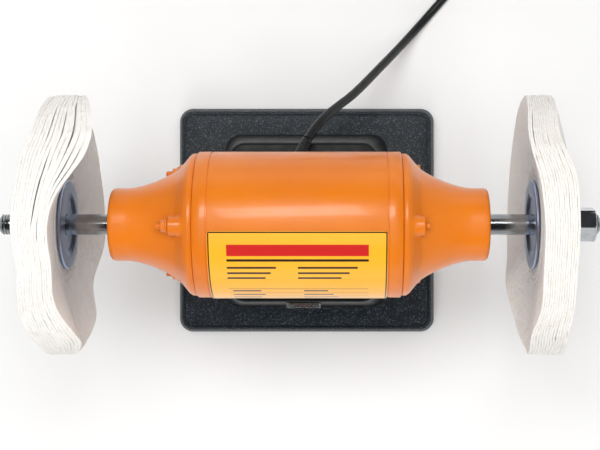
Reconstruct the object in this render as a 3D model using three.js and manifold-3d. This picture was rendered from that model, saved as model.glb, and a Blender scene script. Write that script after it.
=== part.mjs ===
// Double-ended bench buffer: an induction motor on a pedestal and a cast base plate, with a stitched
// cotton wheel at each end of one long shaft. Millimetres, +X along the shaft, +Y to the rear, +Z up,
// origin on the bench under the middle of the motor.

import * as THREE from 'three';
import { mergeVertices } from 'three/addons/utils/BufferGeometryUtils.js';
import Module from 'manifold-3d';

const wasm = await Module();
wasm.setup();

// ---------------------------------------------------------------- driving dimensions

const GAP = 0.3; // clearance between neighbouring solids
const ROUND = 26; // sides of a turned piece
const TUBE_ROUND = 36; // sides of the motor's tube and of the cradle it lies in
const SMALL = 8; // sides of a bolt, pin or rod

const AXIS_Z = 188; // shaft height over the bench

const BASE = { width: 230, depth: 202, corner: 12, bottom: 8, top: 22, plate: 6, skirt: 7, draft: 4 };
const FOOT = { radius: 14, height: 8 - GAP, x: 95, y: 81, screwHead: 5, screw: 2.5, recess: 3 };

const PEDESTAL = {
  width: 144, depth: 154, corner: 14, wall: 5,
  bottom: BASE.top + GAP, top: 109, topWidth: 125, topDepth: 133,
};
const PEDESTAL_BOLT = { x: 55, y: 60, radius: 3, head: 5.5, boss: 8, reach: 20 };
const SADDLE = { width: 116, depth: 92, wall: 6, roof: 6, top: 160 };
const SADDLE_BOLT = { x: 30, radius: 4, head: 7, headHeight: 5, pillar: 9 };

const TUBE = { radius: 56, bore: 52, half: 77.4, seam: 66.8, groove: 0.5 };
const CORE = { radius: TUBE.bore - GAP, bore: 30.5, half: 35, slots: 24, slotEnd: 40.5 };
const WINDING = { inner: 33, outer: 41.4, reach: 20 };
const ROTOR = { radius: 30, half: 35, ringReach: 8, vanes: 8 };

const BELL = { flange: 54.5, flangeEnd: 82.2, neck: 28, neckStart: 131, end: 144, wall: 4.5 };
const SPIGOT = { radius: TUBE.bore - GAP, length: 5.4 };
const TIE_ROD = { count: 3, pitch: 45, radius: 2.5, left: 105.8, right: 97.7 };
const BOSS = { radius: 7.5, left: 95.5, right: 93.7 };
const ROD_NUT = { flange: 6, flangeHeight: 1.4, across: 8, height: 5.2 };

const BEARING = {
  bore: 8.8, outer: 20, width: 12, inboard: 126, ball: 3.375, pitch: 14.25, balls: 7,
  innerLand: 11.8, outerLand: 16.6, cageInner: 13.3, cageOuter: 15.2,
};
const SEAL_SEAT_LEFT = 140.3;
const SEAL = { outer: 13, inner: 8.4, width: 2.8 };
const SPRING = { inner: 17, outer: 19.7, thickness: 0.6, wave: 0.5, waves: 3 };

const SHAFT = { radius: 8, seat: 8.5, middle: 10.5, end: 230 };
const FLANGE = { radius: 34.4, thickness: 2.7, inboard: 177, dish: 24, dishFloor: 20, dishDepth: 2 };
// rim is the flared rim's inboard side: the left wheel has spread further, and is clamped thinner
const WHEEL = {
  radius: 100, hubInboard: 180, rim: { left: 160, right: 170 }, hubOutboard: { left: 198, right: 206 },
};
const NUT = { across: 24, height: 13, fromHub: 7.5, turn: -21 };

const CAPACITOR = { radius: 15, length: 55, y: 34, clampWidth: 14, clampWall: 1.5 };
const SWITCH = { width: 22, height: 20, depth: 20, bezel: 2, z: 92, capWall: 1.2, capReach: 4.2 };
const NAMEPLATE = { half: 66, thickness: 0.4, top: 3.6, bottom: 104 };

const CORD_RADIUS = 3.7;
const RELIEF = { x: -6, y: SADDLE.depth / 2, z: 126, neck: 6, head: 8.5, headLength: 4, tip: 4.8 };
// The cord leaves the strain relief, falls behind the base plate and runs along the bench.
const CORD_ROUTE = [
  [4.1, 68.8, 122.4], [10.7, 78.7, 118], [18, 87.3, 112], [27.9, 96.3, 102], [38.8, 105.5, 90],
  [47.4, 114.1, 78], [54.4, 121.8, 68], [66, 135, 50.5], [77, 147.5, 33.5], [86.5, 158.5, 20],
  [96, 169.5, 10.5], [106, 181, 5.2], [117, 193.5, 3.8], [134.2, 213.3, 3.8],
];
const CORD_TAIL = [
  [83.5, 325.2, 6.6], [74, 325.2, 4.4], [64, 325.2, 3.8], [57.5, 325.2, 4.1], [52.4, 325.2, 5],
];
const COIL = { x: 114, y: 271.5, inner: 29.1, outer: 57.7, height: 15.4 };
const PLUG = { x: 52, y: 325.2, z: 5.1, tilt: 13.2, radius: 18.4, length: 68, pin: 2.4, pinReach: 19 };

// ---------------------------------------------------------------- materials

function finish(colour, roughness, metalness) {
  return () => new THREE.MeshStandardMaterial({ color: colour, roughness, metalness });
}

const FINISH = {
  orangePaint: finish('#e8771a', 0.35, 0),
  texturedPaint: finish('#2f363c', 0.85, 0),
  blackPaint: finish('#17191c', 0.4, 0),
  polishedSteel: finish('#b9bcc0', 0.15, 1),
  zinc: finish('#8a97a6', 0.3, 1),
  chrome: finish('#d5d7da', 0.1, 1),
  laminations: finish('#7b7d80', 0.5, 1),
  enamelledCopper: finish('#a8552a', 0.4, 0.6),
  aluminium: finish('#aeb1b5', 0.45, 1),
  cotton: finish('#ebe6e1', 0.95, 0),
  rubber: finish('#1b1b1b', 0.9, 0),
  blackPlastic: finish('#1f2022', 0.5, 0),
  clearPlastic: finish('#b8bcb8', 0.2, 0),
  whitePlastic: finish('#dcdcd6', 0.5, 0),
  felt: finish('#6b6a66', 1, 0),
  yellowPrint: finish('#fdb62a', 0.4, 0),
};

// ---------------------------------------------------------------- geometry helpers

/** A closed three.js geometry as a manifold solid. */
function solid(geometry) {
  const bare = geometry.clone();
  bare.deleteAttribute('normal');
  bare.deleteAttribute('uv');
  const merged = mergeVertices(bare, 1e-4);
  const index = merged.index.array;
  const triangles = [];
  for (let i = 0; i < index.length; i += 3) {
    const [a, b, c] = [index[i], index[i + 1], index[i + 2]];
    if (a !== b && b !== c && c !== a) triangles.push(a, b, c);
  }
  const vertProperties = Float32Array.from(merged.attributes.position.array);
  const triVerts = Uint32Array.from(triangles);
  return new wasm.Manifold(new wasm.Mesh({ numProp: 3, vertProperties, triVerts }));
}

/** A manifold solid as a three.js geometry. */
function geometryOf(manifold) {
  const mesh = manifold.getMesh();
  const geometry = new THREE.BufferGeometry();
  geometry.setAttribute('position', new THREE.BufferAttribute(mesh.vertProperties, 3));
  geometry.setIndex(new THREE.BufferAttribute(mesh.triVerts, 1));
  geometry.computeVertexNormals();
  return geometry;
}

function cut(body, ...tools) {
  return geometryOf(tools.reduce((rest, tool) => rest.subtract(solid(tool)), solid(body)));
}

function join(body, ...others) {
  return geometryOf(others.reduce((sum, other) => sum.add(solid(other)), solid(body)));
}

/** A profile of [distance along the axis, radius] points, turned about the X axis. */
function turned(profile, sides = ROUND) {
  const points = profile.map(([along, radius]) => new THREE.Vector2(radius, along));
  return new THREE.LatheGeometry(points, sides).rotateZ(-Math.PI / 2);
}

/** A ring about the X axis with a rectangular section. */
function ring(from, to, inner, outer, sides = ROUND) {
  return turned([[from, inner], [from, outer], [to, outer], [to, inner], [from, inner]], sides);
}

/** A solid cylinder along X, from one station to another. */
function barX(from, to, radius, sides = SMALL) {
  const bar = new THREE.CylinderGeometry(radius, radius, to - from, sides).rotateZ(-Math.PI / 2);
  return bar.translate((from + to) / 2, 0, 0);
}

/** A solid cylinder along Z, from one height to another. */
function barZ(from, to, radius, sides = SMALL) {
  const bar = new THREE.CylinderGeometry(radius, radius, to - from, sides).rotateX(Math.PI / 2);
  return bar.translate(0, 0, (from + to) / 2);
}

function box(x0, x1, y0, y1, z0, z1) {
  const block = new THREE.BoxGeometry(x1 - x0, y1 - y0, z1 - z0);
  return block.translate((x0 + x1) / 2, (y0 + y1) / 2, (z0 + z1) / 2);
}

function roundedRectangle(width, depth, radius) {
  const shape = new THREE.Shape();
  const [x, y] = [width / 2 - radius, depth / 2 - radius];
  shape.absarc(x, y, radius, 0, Math.PI / 2);
  shape.absarc(-x, y, radius, Math.PI / 2, Math.PI);
  shape.absarc(-x, -y, radius, Math.PI, Math.PI * 1.5);
  shape.absarc(x, -y, radius, Math.PI * 1.5, Math.PI * 2);
  return shape;
}

function extruded(shape, height, curveSegments = 3) {
  return new THREE.ExtrudeGeometry(shape, { depth: height, bevelEnabled: false, curveSegments });
}

/** A block with a rounded outline that narrows evenly from its foot to its top. */
function tapered(width, depth, corner, height, topWidth, topDepth) {
  const geometry = extruded(roundedRectangle(width, depth, corner), height);
  const position = geometry.attributes.position;
  for (let i = 0; i < position.count; i += 1) {
    const share = position.getZ(i) / height;
    position.setX(i, position.getX(i) * (1 + (topWidth / width - 1) * share));
    position.setY(i, position.getY(i) * (1 + (topDepth / depth - 1) * share));
  }
  return geometry;
}

/** A section drawn in the YZ plane, pushed along X and centred on the origin. */
function prismX(shape, length, curveSegments = 12) {
  const basis = new THREE.Matrix4().makeBasis(
    new THREE.Vector3(0, 1, 0), new THREE.Vector3(0, 0, 1), new THREE.Vector3(1, 0, 0),
  );
  const prism = extruded(shape, length, curveSegments).applyMatrix4(basis);
  return prism.translate(-length / 2, 0, 0);
}

/** A hexagon bar along X with a corner at the top. */
function hexagonX(from, to, across) {
  return barX(from, to, across / Math.sqrt(3), 6);
}

function circle(radius, sides) {
  const shape = new THREE.Shape();
  for (let i = 0; i < sides; i += 1) {
    const angle = (2 * Math.PI * i) / sides;
    const [x, y] = [radius * Math.cos(angle), radius * Math.sin(angle)];
    if (i === 0) shape.moveTo(x, y);
    else shape.lineTo(x, y);
  }
  return shape;
}

function tubeAlong(route, radius, steps, sides = 8) {
  const path = new THREE.CatmullRomCurve3(route.map((point) => new THREE.Vector3(...point)));
  return new THREE.ExtrudeGeometry(circle(radius, sides), { steps, extrudePath: path });
}

/** The same turned profile for the end at +X, or mirrored for the end at -X. */
function sided(profile, side) {
  const placed = profile.map(([along, radius]) => [side * along, radius]);
  return side > 0 ? placed : placed.reverse();
}

const radians = THREE.MathUtils.degToRad;
const ENDS = [['left', -1], ['right', 1]];
const CORNERS = [
  ['front_left', -1, -1], ['front_right', 1, -1], ['rear_left', -1, 1], ['rear_right', 1, 1],
];

// ---------------------------------------------------------------- the assembly's groups

const buffer = new THREE.Group();
const motor = new THREE.Group(); // everything measured from the shaft's axis
motor.position.z = AXIS_Z;
buffer.add(motor);

function add(parent, name, geometry, makeMaterial, x = 0, y = 0, z = 0) {
  const mesh = new THREE.Mesh(geometry, makeMaterial());
  mesh.name = name;
  mesh.position.set(x, y, z);
  parent.add(mesh);
  return mesh;
}

// ---------------------------------------------------------------- base plate, feet and their screws

function basePlate() {
  const { width, depth, corner, bottom, top, plate, skirt, draft } = BASE;
  const height = top - bottom;
  const shell = tapered(width, depth, corner, height, width - 2 * draft, depth - 2 * draft);
  const [hollowWidth, hollowDepth] = [width - 2 * skirt, depth - 2 * skirt];
  const hollow = extruded(roundedRectangle(hollowWidth, hollowDepth, corner - 4), height - plate + 1);
  let geometry = cut(shell, hollow.translate(0, 0, -1));
  for (const [, sx, sy] of CORNERS) {
    const boss = barZ(0, height - plate + 1, FOOT.radius + 2, 16);
    geometry = join(geometry, boss.translate(sx * FOOT.x, sy * FOOT.y, 0));
    const tapped = barZ(-1, height - 2, FOOT.screw + GAP);
    const bolt = barZ(-1, height + 1, PEDESTAL_BOLT.radius + GAP);
    geometry = cut(
      geometry,
      tapped.translate(sx * FOOT.x, sy * FOOT.y, 0),
      bolt.translate(sx * PEDESTAL_BOLT.x, sy * PEDESTAL_BOLT.y, 0),
    );
  }
  return geometry;
}

function rubberFoot() {
  const profile = [
    [0, FOOT.screwHead + 1], [0, FOOT.radius - 1], [1, FOOT.radius], [FOOT.height, FOOT.radius - 2],
    [FOOT.height, FOOT.screw + GAP], [FOOT.recess, FOOT.screw + GAP], [FOOT.recess, FOOT.screwHead + 1],
    [0, FOOT.screwHead + 1],
  ];
  return turned(profile, 12).rotateY(-Math.PI / 2);
}

function footScrew() {
  const profile = [
    [0.6, 0], [0.6, FOOT.screwHead - 0.8], [1.4, FOOT.screwHead], [FOOT.recess - GAP, FOOT.screwHead],
    [FOOT.recess - GAP, FOOT.screw], [BASE.top - 4.5, FOOT.screw], [BASE.top - 4, 0],
  ];
  return turned(profile, SMALL).rotateY(-Math.PI / 2);
}

add(buffer, 'base_plate', basePlate(), FINISH.texturedPaint, 0, 0, BASE.bottom);
for (const [name, sx, sy] of CORNERS) {
  add(buffer, `rubber_foot_${name}`, rubberFoot(), FINISH.rubber, sx * FOOT.x, sy * FOOT.y, 0);
  add(buffer, `foot_screw_${name}`, footScrew(), FINISH.zinc, sx * FOOT.x, sy * FOOT.y, 0);
}

// ---------------------------------------------------------------- pedestal, saddle and their bolts

// The lean of the pedestal's front face, and how far forward it lies at the switch's height.
const pedestalLean = Math.atan2((PEDESTAL.depth - PEDESTAL.topDepth) / 2, PEDESTAL.top - PEDESTAL.bottom);
const switchY = -(PEDESTAL.depth / 2 - (SWITCH.z - PEDESTAL.bottom) * Math.tan(pedestalLean));

function pedestal() {
  const { width, depth, corner, wall, bottom, top, topWidth, topDepth } = PEDESTAL;
  const height = top - bottom;
  const [w, d] = [width - 2 * wall, depth - 2 * wall];
  const roof = height - wall;
  const shell = tapered(width, depth, corner, height, topWidth, topDepth);
  const hollow = tapered(w, d, corner - wall, roof, topWidth - 2 * wall, topDepth - 2 * wall);
  const mouth = extruded(roundedRectangle(w, d, corner - wall), 1).translate(0, 0, -0.99);
  let geometry = cut(shell, join(hollow, mouth));
  for (const [, sx, sy] of CORNERS) {
    const [x, y] = [sx * PEDESTAL_BOLT.x, sy * PEDESTAL_BOLT.y];
    const boss = barZ(0, PEDESTAL_BOLT.reach, PEDESTAL_BOLT.boss).translate(x, y, 0);
    const web = box(0, 18, -3, 3, 0, PEDESTAL_BOLT.reach).rotateZ(Math.atan2(sy, sx));
    geometry = join(geometry, boss, web.translate(x, y, 0));
    const hole = barZ(-1, PEDESTAL_BOLT.reach - 2, PEDESTAL_BOLT.radius + GAP);
    geometry = cut(geometry, hole.translate(x, y, 0));
    geometry = geometryOf(solid(geometry).intersect(solid(shell)));
  }
  for (const side of [-1, 1]) {
    const hole = barZ(roof - 1, height + 1, SADDLE_BOLT.radius + GAP);
    geometry = cut(geometry, hole.translate(side * SADDLE_BOLT.x, 0, 0));
  }
  const wires = barZ(roof - 1, height + 1, 7).translate(-45, 0, 0);
  const [halfWide, halfHigh] = [SWITCH.width / 2 + GAP, SWITCH.height / 2 + GAP];
  const window = box(-halfWide, halfWide, -12, 12, -halfHigh, halfHigh).rotateX(-pedestalLean);
  return cut(geometry, wires, window.translate(0, switchY, SWITCH.z - bottom));
}

function saddle() {
  const { width, depth, wall, top } = SADDLE;
  const bottom = PEDESTAL.top + GAP;
  const [halfWide, halfDeep] = [width / 2, depth / 2];
  const tube = barX(-width, width, TUBE.radius + GAP, TUBE_ROUND).translate(0, 0, AXIS_Z);
  const roof = barX(-width, width, TUBE.radius + SADDLE.roof, TUBE_ROUND).translate(0, 0, AXIS_Z);
  const block = extruded(roundedRectangle(width, depth, 8), top - bottom).translate(0, 0, bottom);
  const room = box(
    -halfWide + wall, halfWide - wall, -halfDeep + wall, halfDeep - wall, bottom - 1, top,
  );
  let hollow = solid(room).subtract(solid(roof));
  for (const side of [-1, 1]) {
    const pillar = barZ(bottom - 2, top, SADDLE_BOLT.pillar).translate(side * SADDLE_BOLT.x, 0, 0);
    hollow = hollow.subtract(solid(pillar));
  }
  let body = solid(block).subtract(solid(tube)).subtract(hollow);
  for (const side of [-1, 1]) {
    const hole = barZ(bottom - 1, top, SADDLE_BOLT.radius + GAP).translate(side * SADDLE_BOLT.x, 0, 0);
    body = body.subtract(solid(hole));
  }
  const wires = barZ(bottom, top, 6).translate(-47, 0, 0);
  const cordHole = new THREE.CylinderGeometry(RELIEF.neck + GAP, RELIEF.neck + GAP, 4 * wall, 20);
  cordHole.translate(RELIEF.x, RELIEF.y, RELIEF.z);
  return geometryOf(body.subtract(solid(wires)).subtract(solid(cordHole)));
}

/** A headed bolt pointing up, with the underside of its head at height zero. */
function headedBolt(radius, head, headHeight, reach) {
  const profile = [
    [-headHeight, 0], [-headHeight, head - 1], [-headHeight + 1, head], [0, head], [0, radius],
    [reach - 0.8, radius], [reach, radius - 0.8], [reach, 0],
  ];
  return turned(profile, SMALL).rotateY(-Math.PI / 2);
}

add(buffer, 'pedestal', pedestal(), FINISH.blackPaint, 0, 0, PEDESTAL.bottom);
add(buffer, 'motor_saddle', saddle(), FINISH.blackPaint);
CORNERS.forEach(([name, sx, sy]) => {
  const bolt = headedBolt(PEDESTAL_BOLT.radius, PEDESTAL_BOLT.head, 4, 22);
  const z = BASE.top - BASE.plate - GAP;
  add(buffer, `pedestal_bolt_${name}`, bolt, FINISH.zinc, sx * PEDESTAL_BOLT.x, sy * PEDESTAL_BOLT.y, z);
});
for (const [name, side] of ENDS) {
  const underside = PEDESTAL.top - PEDESTAL.wall - GAP;
  const reach = AXIS_Z - TUBE.bore - 1 - underside;
  const bolt = headedBolt(SADDLE_BOLT.radius, SADDLE_BOLT.head, SADDLE_BOLT.headHeight, reach);
  add(buffer, `saddle_bolt_${name}`, bolt, FINISH.zinc, side * SADDLE_BOLT.x, 0, underside);
}

// ---------------------------------------------------------------- what the pedestal holds

const roofZ = PEDESTAL.top - PEDESTAL.wall - GAP;

function capacitorClamp() {
  const { radius, clampWidth, clampWall } = CAPACITOR;
  const inner = radius + GAP;
  const outer = inner + clampWall;
  const band = ring(-clampWidth / 2, clampWidth / 2, inner, outer, 20);
  const top = radius + 2 * GAP;
  const lower = box(-clampWidth, clampWidth, -40, 40, -40, 4);
  const arch = geometryOf(solid(band).intersect(solid(lower)));
  const parts = [];
  for (const side of [-1, 1]) {
    const [near, far] = [side * inner, side * outer];
    const leg = box(-clampWidth / 2, clampWidth / 2, Math.min(near, far), Math.max(near, far), 0, top);
    const foot = side > 0
      ? box(-clampWidth / 2, clampWidth / 2, inner, inner + 9, top - clampWall, top)
      : box(-clampWidth / 2, clampWidth / 2, -inner - 9, -inner, top - clampWall, top);
    parts.push(leg, foot);
  }
  return join(arch, ...parts);
}

function capacitor() {
  const { radius, length } = CAPACITOR;
  const half = length / 2;
  return turned([
    [-half, 0], [-half, radius - 1.5], [-half + 1.5, radius], [half - 1.5, radius],
    [half - 1.5, radius - 2], [half, radius - 2], [half, 5], [half + 6, 5], [half + 6, 0],
  ], 20);
}

const capacitorZ = roofZ - CAPACITOR.radius - 2 * GAP;
add(buffer, 'run_capacitor', capacitor(), FINISH.aluminium, 0, CAPACITOR.y, capacitorZ);
add(buffer, 'capacitor_clamp', capacitorClamp(), FINISH.zinc, 0, CAPACITOR.y, capacitorZ);

function terminalBlock() {
  let block = box(-18, 18, -7, 7, -11, 0);
  for (const x of [-12, -4, 4, 12]) {
    block = cut(block, box(x - 2.5, x + 2.5, -8, -3, -8, -4), box(x - 2.5, x + 2.5, 3, 8, -8, -4));
  }
  return block;
}

add(buffer, 'terminal_block', terminalBlock(), FINISH.whitePlastic, 0, -18, roofZ);

// ---------------------------------------------------------------- the switch in the pedestal's front

const switchGroup = new THREE.Group();
switchGroup.position.set(0, switchY, SWITCH.z);
switchGroup.rotation.x = -pedestalLean;
buffer.add(switchGroup);

const ROCKER = { width: SWITCH.width - 8, height: SWITCH.height - 6, pivotY: 2, rest: 12 };

/** The body's bezel lies on the pedestal's face; its pocket holds the rocker. */
function switchBody() {
  const { width, height, depth, bezel } = SWITCH;
  const [w, h] = [width / 2, height / 2];
  const barrel = box(-w, w, 0, depth, -h, h);
  const rim = box(-w - 2, w + 2, -GAP - 1.2, -GAP, -h - 2, h + 2);
  const neck = box(-w, w, -GAP - 1, 1, -h, h);
  const pocket = box(
    -ROCKER.width / 2 - 0.5, ROCKER.width / 2 + 0.5, -bezel, depth - 5,
    -ROCKER.height / 2 - 1, ROCKER.height / 2 + 1,
  );
  return cut(join(barrel, neck, rim), pocket);
}

/** A V-shaped rocker with its pivot on the X axis, drawn in its middle position. */
function rocker() {
  const high = ROCKER.height / 2;
  const shape = new THREE.Shape();
  shape.moveTo(-1.2, 0);
  shape.lineTo(-2.9, high);
  shape.lineTo(1, high - 0.4);
  shape.lineTo(6, 3);
  shape.lineTo(6, -3);
  shape.lineTo(1, -high + 0.4);
  shape.lineTo(-2.9, -high);
  shape.closePath();
  return prismX(shape, ROCKER.width);
}

/** The clear cap is a shallow tray over the bezel, open at its back. */
function switchCap() {
  const { width, height, capWall, capReach } = SWITCH;
  const [w, h] = [width / 2 + 3.5, height / 2 + 3.5];
  const tray = box(-w, w, -capReach, -GAP, -h, h);
  const room = box(-w + capWall, w - capWall, -capReach + capWall, 1, -h + capWall, h - capWall);
  return cut(tray, room);
}

add(switchGroup, 'switch_body', switchBody(), FINISH.blackPlastic);
const rockerMesh = add(switchGroup, 'switch_rocker', rocker(), FINISH.blackPlastic, 0, ROCKER.pivotY, 0);
rockerMesh.rotation.x = radians(ROCKER.rest); // off: its lower half is pressed in
add(switchGroup, 'switch_cap', switchCap(), FINISH.clearPlastic);

// ---------------------------------------------------------------- stator

function statorHousing() {
  const { radius, bore, half, seam, groove } = TUBE;
  const outside = [[-half, radius]];
  for (const at of [-seam, seam]) {
    outside.push([at - 0.6, radius], [at, radius - groove], [at + 0.6, radius]);
  }
  outside.push([half, radius]);
  const profile = [[-half, bore], ...outside, [half, bore], [-half, bore]];
  const wires = barZ(-radius - 2, -bore + 4, 5).translate(-47, 0, 0);
  const holes = [-1, 1].map((side) => (
    barZ(-radius - 2, -bore + 2, SADDLE_BOLT.radius + GAP).translate(side * SADDLE_BOLT.x, 0, 0)
  ));
  return cut(turned(profile, TUBE_ROUND), wires, ...holes);
}

/** The angle of a tie rod from the top, towards the front. */
function rodAngle(index) {
  return (2 * Math.PI * index) / TIE_ROD.count;
}

/** Turns a piece that lies at the tie rods' radius above the axis to its rod's place. */
function atRod(geometry, index) {
  return geometry.translate(0, 0, TIE_ROD.pitch).rotateX(rodAngle(index));
}

function rodHoles(reach) {
  return Array.from({ length: TIE_ROD.count }, (_, index) => (
    atRod(barX(-reach, reach, TIE_ROD.radius + GAP), index)
  ));
}

function statorCore() {
  const outline = circle(CORE.radius, TUBE_ROUND);
  const hole = new THREE.Path();
  const pitch = (2 * Math.PI) / CORE.slots;
  for (let i = 0; i < CORE.slots; i += 1) {
    const corners = [
      [CORE.bore, 0], [CORE.bore, 0.38], [CORE.slotEnd, 0.32], [CORE.slotEnd, 0.68], [CORE.bore, 0.62],
    ];
    corners.forEach(([radius, share], step) => {
      const angle = (i + share) * pitch;
      const [x, y] = [radius * Math.cos(angle), radius * Math.sin(angle)];
      if (i + step === 0) hole.moveTo(x, y);
      else hole.lineTo(x, y);
    });
  }
  outline.holes.push(hole);
  return cut(prismX(outline, 2 * CORE.half), ...rodHoles(CORE.half + 1));
}

function winding(side) {
  const { inner, outer, reach } = WINDING;
  const [near, far] = [CORE.half + GAP, CORE.half + reach];
  const middle = (inner + outer) / 2;
  const profile = [
    [near, inner], [near, outer], [far - 4, outer], [far - 1, outer - 1.5], [far, middle],
    [far - 1, inner + 1.5], [far - 4, inner], [near, inner],
  ];
  return turned(sided(profile, side));
}

add(motor, 'stator_housing', statorHousing(), FINISH.orangePaint);
add(motor, 'stator_core', statorCore(), FINISH.laminations);

// ---------------------------------------------------------------- end bells, tie rods and their nuts

function endBell(side) {
  const { flange, flangeEnd, neck, neckStart, end, wall } = BELL;
  const flangeStart = TUBE.half + GAP;
  const slopeEnd = new THREE.Vector2(91, 44);
  const trumpet = new THREE.CubicBezierCurve(
    slopeEnd, new THREE.Vector2(97, 38.5), new THREE.Vector2(117, 29), new THREE.Vector2(neckStart, neck),
  ).getPoints(5).map((point) => [point.x, point.y]);
  const seatEnd = side > 0 ? BEARING.inboard + BEARING.width + GAP : SEAL_SEAT_LEFT;
  const seat = BEARING.outer + GAP;
  const sealSeat = SEAL.outer + GAP;
  const inside = new THREE.QuadraticBezierCurve(
    new THREE.Vector2(84, SPIGOT.radius - wall), new THREE.Vector2(96, 27.5),
    new THREE.Vector2(BEARING.inboard - 4, seat),
  ).getPoints(3).map((point) => [point.x, point.y]);
  const profile = [
    [flangeStart - SPIGOT.length, SPIGOT.radius - wall], [flangeStart - SPIGOT.length, SPIGOT.radius],
    [flangeStart, SPIGOT.radius], [flangeStart, flange], [flangeEnd, flange], ...trumpet,
    [end - 2, neck], [end - 0.6, neck - 0.6], [end, neck - 2], [end, sealSeat], [seatEnd, sealSeat],
    [seatEnd, seat], ...inside.reverse(), [flangeStart - SPIGOT.length, SPIGOT.radius - wall],
  ];
  const bossEnd = side > 0 ? BOSS.right : BOSS.left;
  const bosses = Array.from({ length: TIE_ROD.count }, (_, index) => {
    const [near, far] = [side * (flangeStart + 1), side * bossEnd];
    return atRod(barX(Math.min(near, far), Math.max(near, far), BOSS.radius, 12), index);
  });
  const casting = cut(join(turned(sided(profile, side)), ...bosses), ...rodHoles(110));
  return side > 0 ? casting : cut(casting, ...spotFaces());
}

/** Flat seats beside the left bosses, where the flange nuts would meet the casting. */
function spotFaces() {
  return Array.from({ length: TIE_ROD.count }, (_, index) => (
    atRod(barX(-110, -BOSS.left, ROD_NUT.flange + 3 * GAP, 12), index)
  ));
}

function tieRod() {
  const { radius, left, right } = TIE_ROD;
  return turned([
    [-left, 0], [-left, radius - 0.6], [-left + 0.6, radius], [right - 1.2, radius],
    [right - 0.3, radius - 0.9], [right, 0],
  ], SMALL);
}

function rodNut() {
  const { flange, flangeHeight, across, height } = ROD_NUT;
  const inboard = -BOSS.left - GAP;
  const washer = barX(inboard - flangeHeight, inboard, flange, 20);
  const hexagon = hexagonX(inboard - height, inboard - flangeHeight + 0.2, across);
  return cut(join(washer, hexagon), barX(-120, 0, TIE_ROD.radius + GAP));
}

for (const [name, side] of ENDS) {
  add(motor, `stator_winding_${name}`, winding(side), FINISH.enamelledCopper);
  add(motor, `end_bell_${name}`, endBell(side), FINISH.orangePaint);
}
for (let index = 0; index < TIE_ROD.count; index += 1) {
  add(motor, `tie_rod_${index + 1}`, atRod(tieRod(), index), FINISH.orangePaint);
  add(motor, `tie_rod_nut_${index + 1}`, atRod(rodNut(), index), FINISH.orangePaint);
}

// ---------------------------------------------------------------- nameplate

function nameplate() {
  const inner = TUBE.radius + GAP;
  const outer = inner + NAMEPLATE.thickness;
  const [start, end] = [90 + NAMEPLATE.top, 90 + NAMEPLATE.bottom].map(radians);
  const shape = new THREE.Shape();
  shape.absarc(0, 0, outer, start, end, false);
  shape.absarc(0, 0, inner, end, start, true);
  return prismX(shape, 2 * NAMEPLATE.half, 14);
}

add(motor, 'nameplate', nameplate(), FINISH.yellowPrint);

// ---------------------------------------------------------------- bearings, spring and seals

/** A race's groove for the balls, seen from the ball's side of the ring. */
function groove(surface, towards) {
  const centre = BEARING.inboard + BEARING.width / 2;
  const radius = BEARING.ball + GAP;
  const half = Math.acos(Math.abs(surface - BEARING.pitch) / radius);
  return [-1, -0.5, 0, 0.5, 1].map((share) => {
    const angle = half * share;
    return [centre + radius * Math.sin(angle), BEARING.pitch + towards * radius * Math.cos(angle)];
  });
}

function outerRing(side) {
  const { inboard: from, width, outer, outerLand } = BEARING;
  const to = from + width;
  const profile = [
    [from, outerLand], [from, outer], [to, outer], [to, outerLand],
    ...groove(outerLand, 1).reverse(), [from, outerLand],
  ];
  return turned(sided(profile, side), 20);
}

function innerRing(side) {
  const { inboard: from, width, bore, innerLand } = BEARING;
  const to = from + width;
  const profile = [
    [from, bore], [from, innerLand], ...groove(innerLand, -1), [to, innerLand], [to, bore],
    [from, bore],
  ];
  return turned(sided(profile, side), 20);
}

function ballCage(side) {
  const centre = side * (BEARING.inboard + BEARING.width / 2);
  const cage = ring(centre - 2, centre + 2, BEARING.cageInner, BEARING.cageOuter, 21);
  const balls = Array.from({ length: BEARING.balls }, (_, index) => {
    const ball = new THREE.SphereGeometry(BEARING.ball, 7, 4).translate(centre, 0, BEARING.pitch);
    return ball.rotateX((2 * Math.PI * index) / BEARING.balls);
  });
  return join(cage, ...balls);
}

function waveSpring() {
  const { inner, outer, thickness, wave, waves } = SPRING;
  const centre = -(BEARING.inboard + BEARING.width + GAP + wave + thickness / 2);
  const geometry = ring(centre - thickness / 2, centre + thickness / 2, inner, outer, 30);
  const position = geometry.attributes.position;
  for (let i = 0; i < position.count; i += 1) {
    const angle = Math.atan2(position.getY(i), position.getZ(i));
    position.setX(i, position.getX(i) + wave * Math.sin(waves * angle));
  }
  return geometry;
}

for (const [name, side] of ENDS) {
  add(motor, `bearing_outer_ring_${name}`, outerRing(side), FINISH.polishedSteel);
  add(motor, `bearing_inner_ring_${name}`, innerRing(side), FINISH.polishedSteel);
  add(motor, `bearing_cage_${name}`, ballCage(side), FINISH.polishedSteel);
  const [near, far] = [side * (BELL.end - GAP), side * (BELL.end - GAP - SEAL.width)];
  const seal = ring(Math.min(near, far), Math.max(near, far), SEAL.inner, SEAL.outer, 16);
  add(motor, `shaft_seal_${name}`, seal, FINISH.felt);
}
add(motor, 'wave_spring', waveSpring(), FINISH.polishedSteel);

// ---------------------------------------------------------------- rotor, shaft and what they carry

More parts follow.
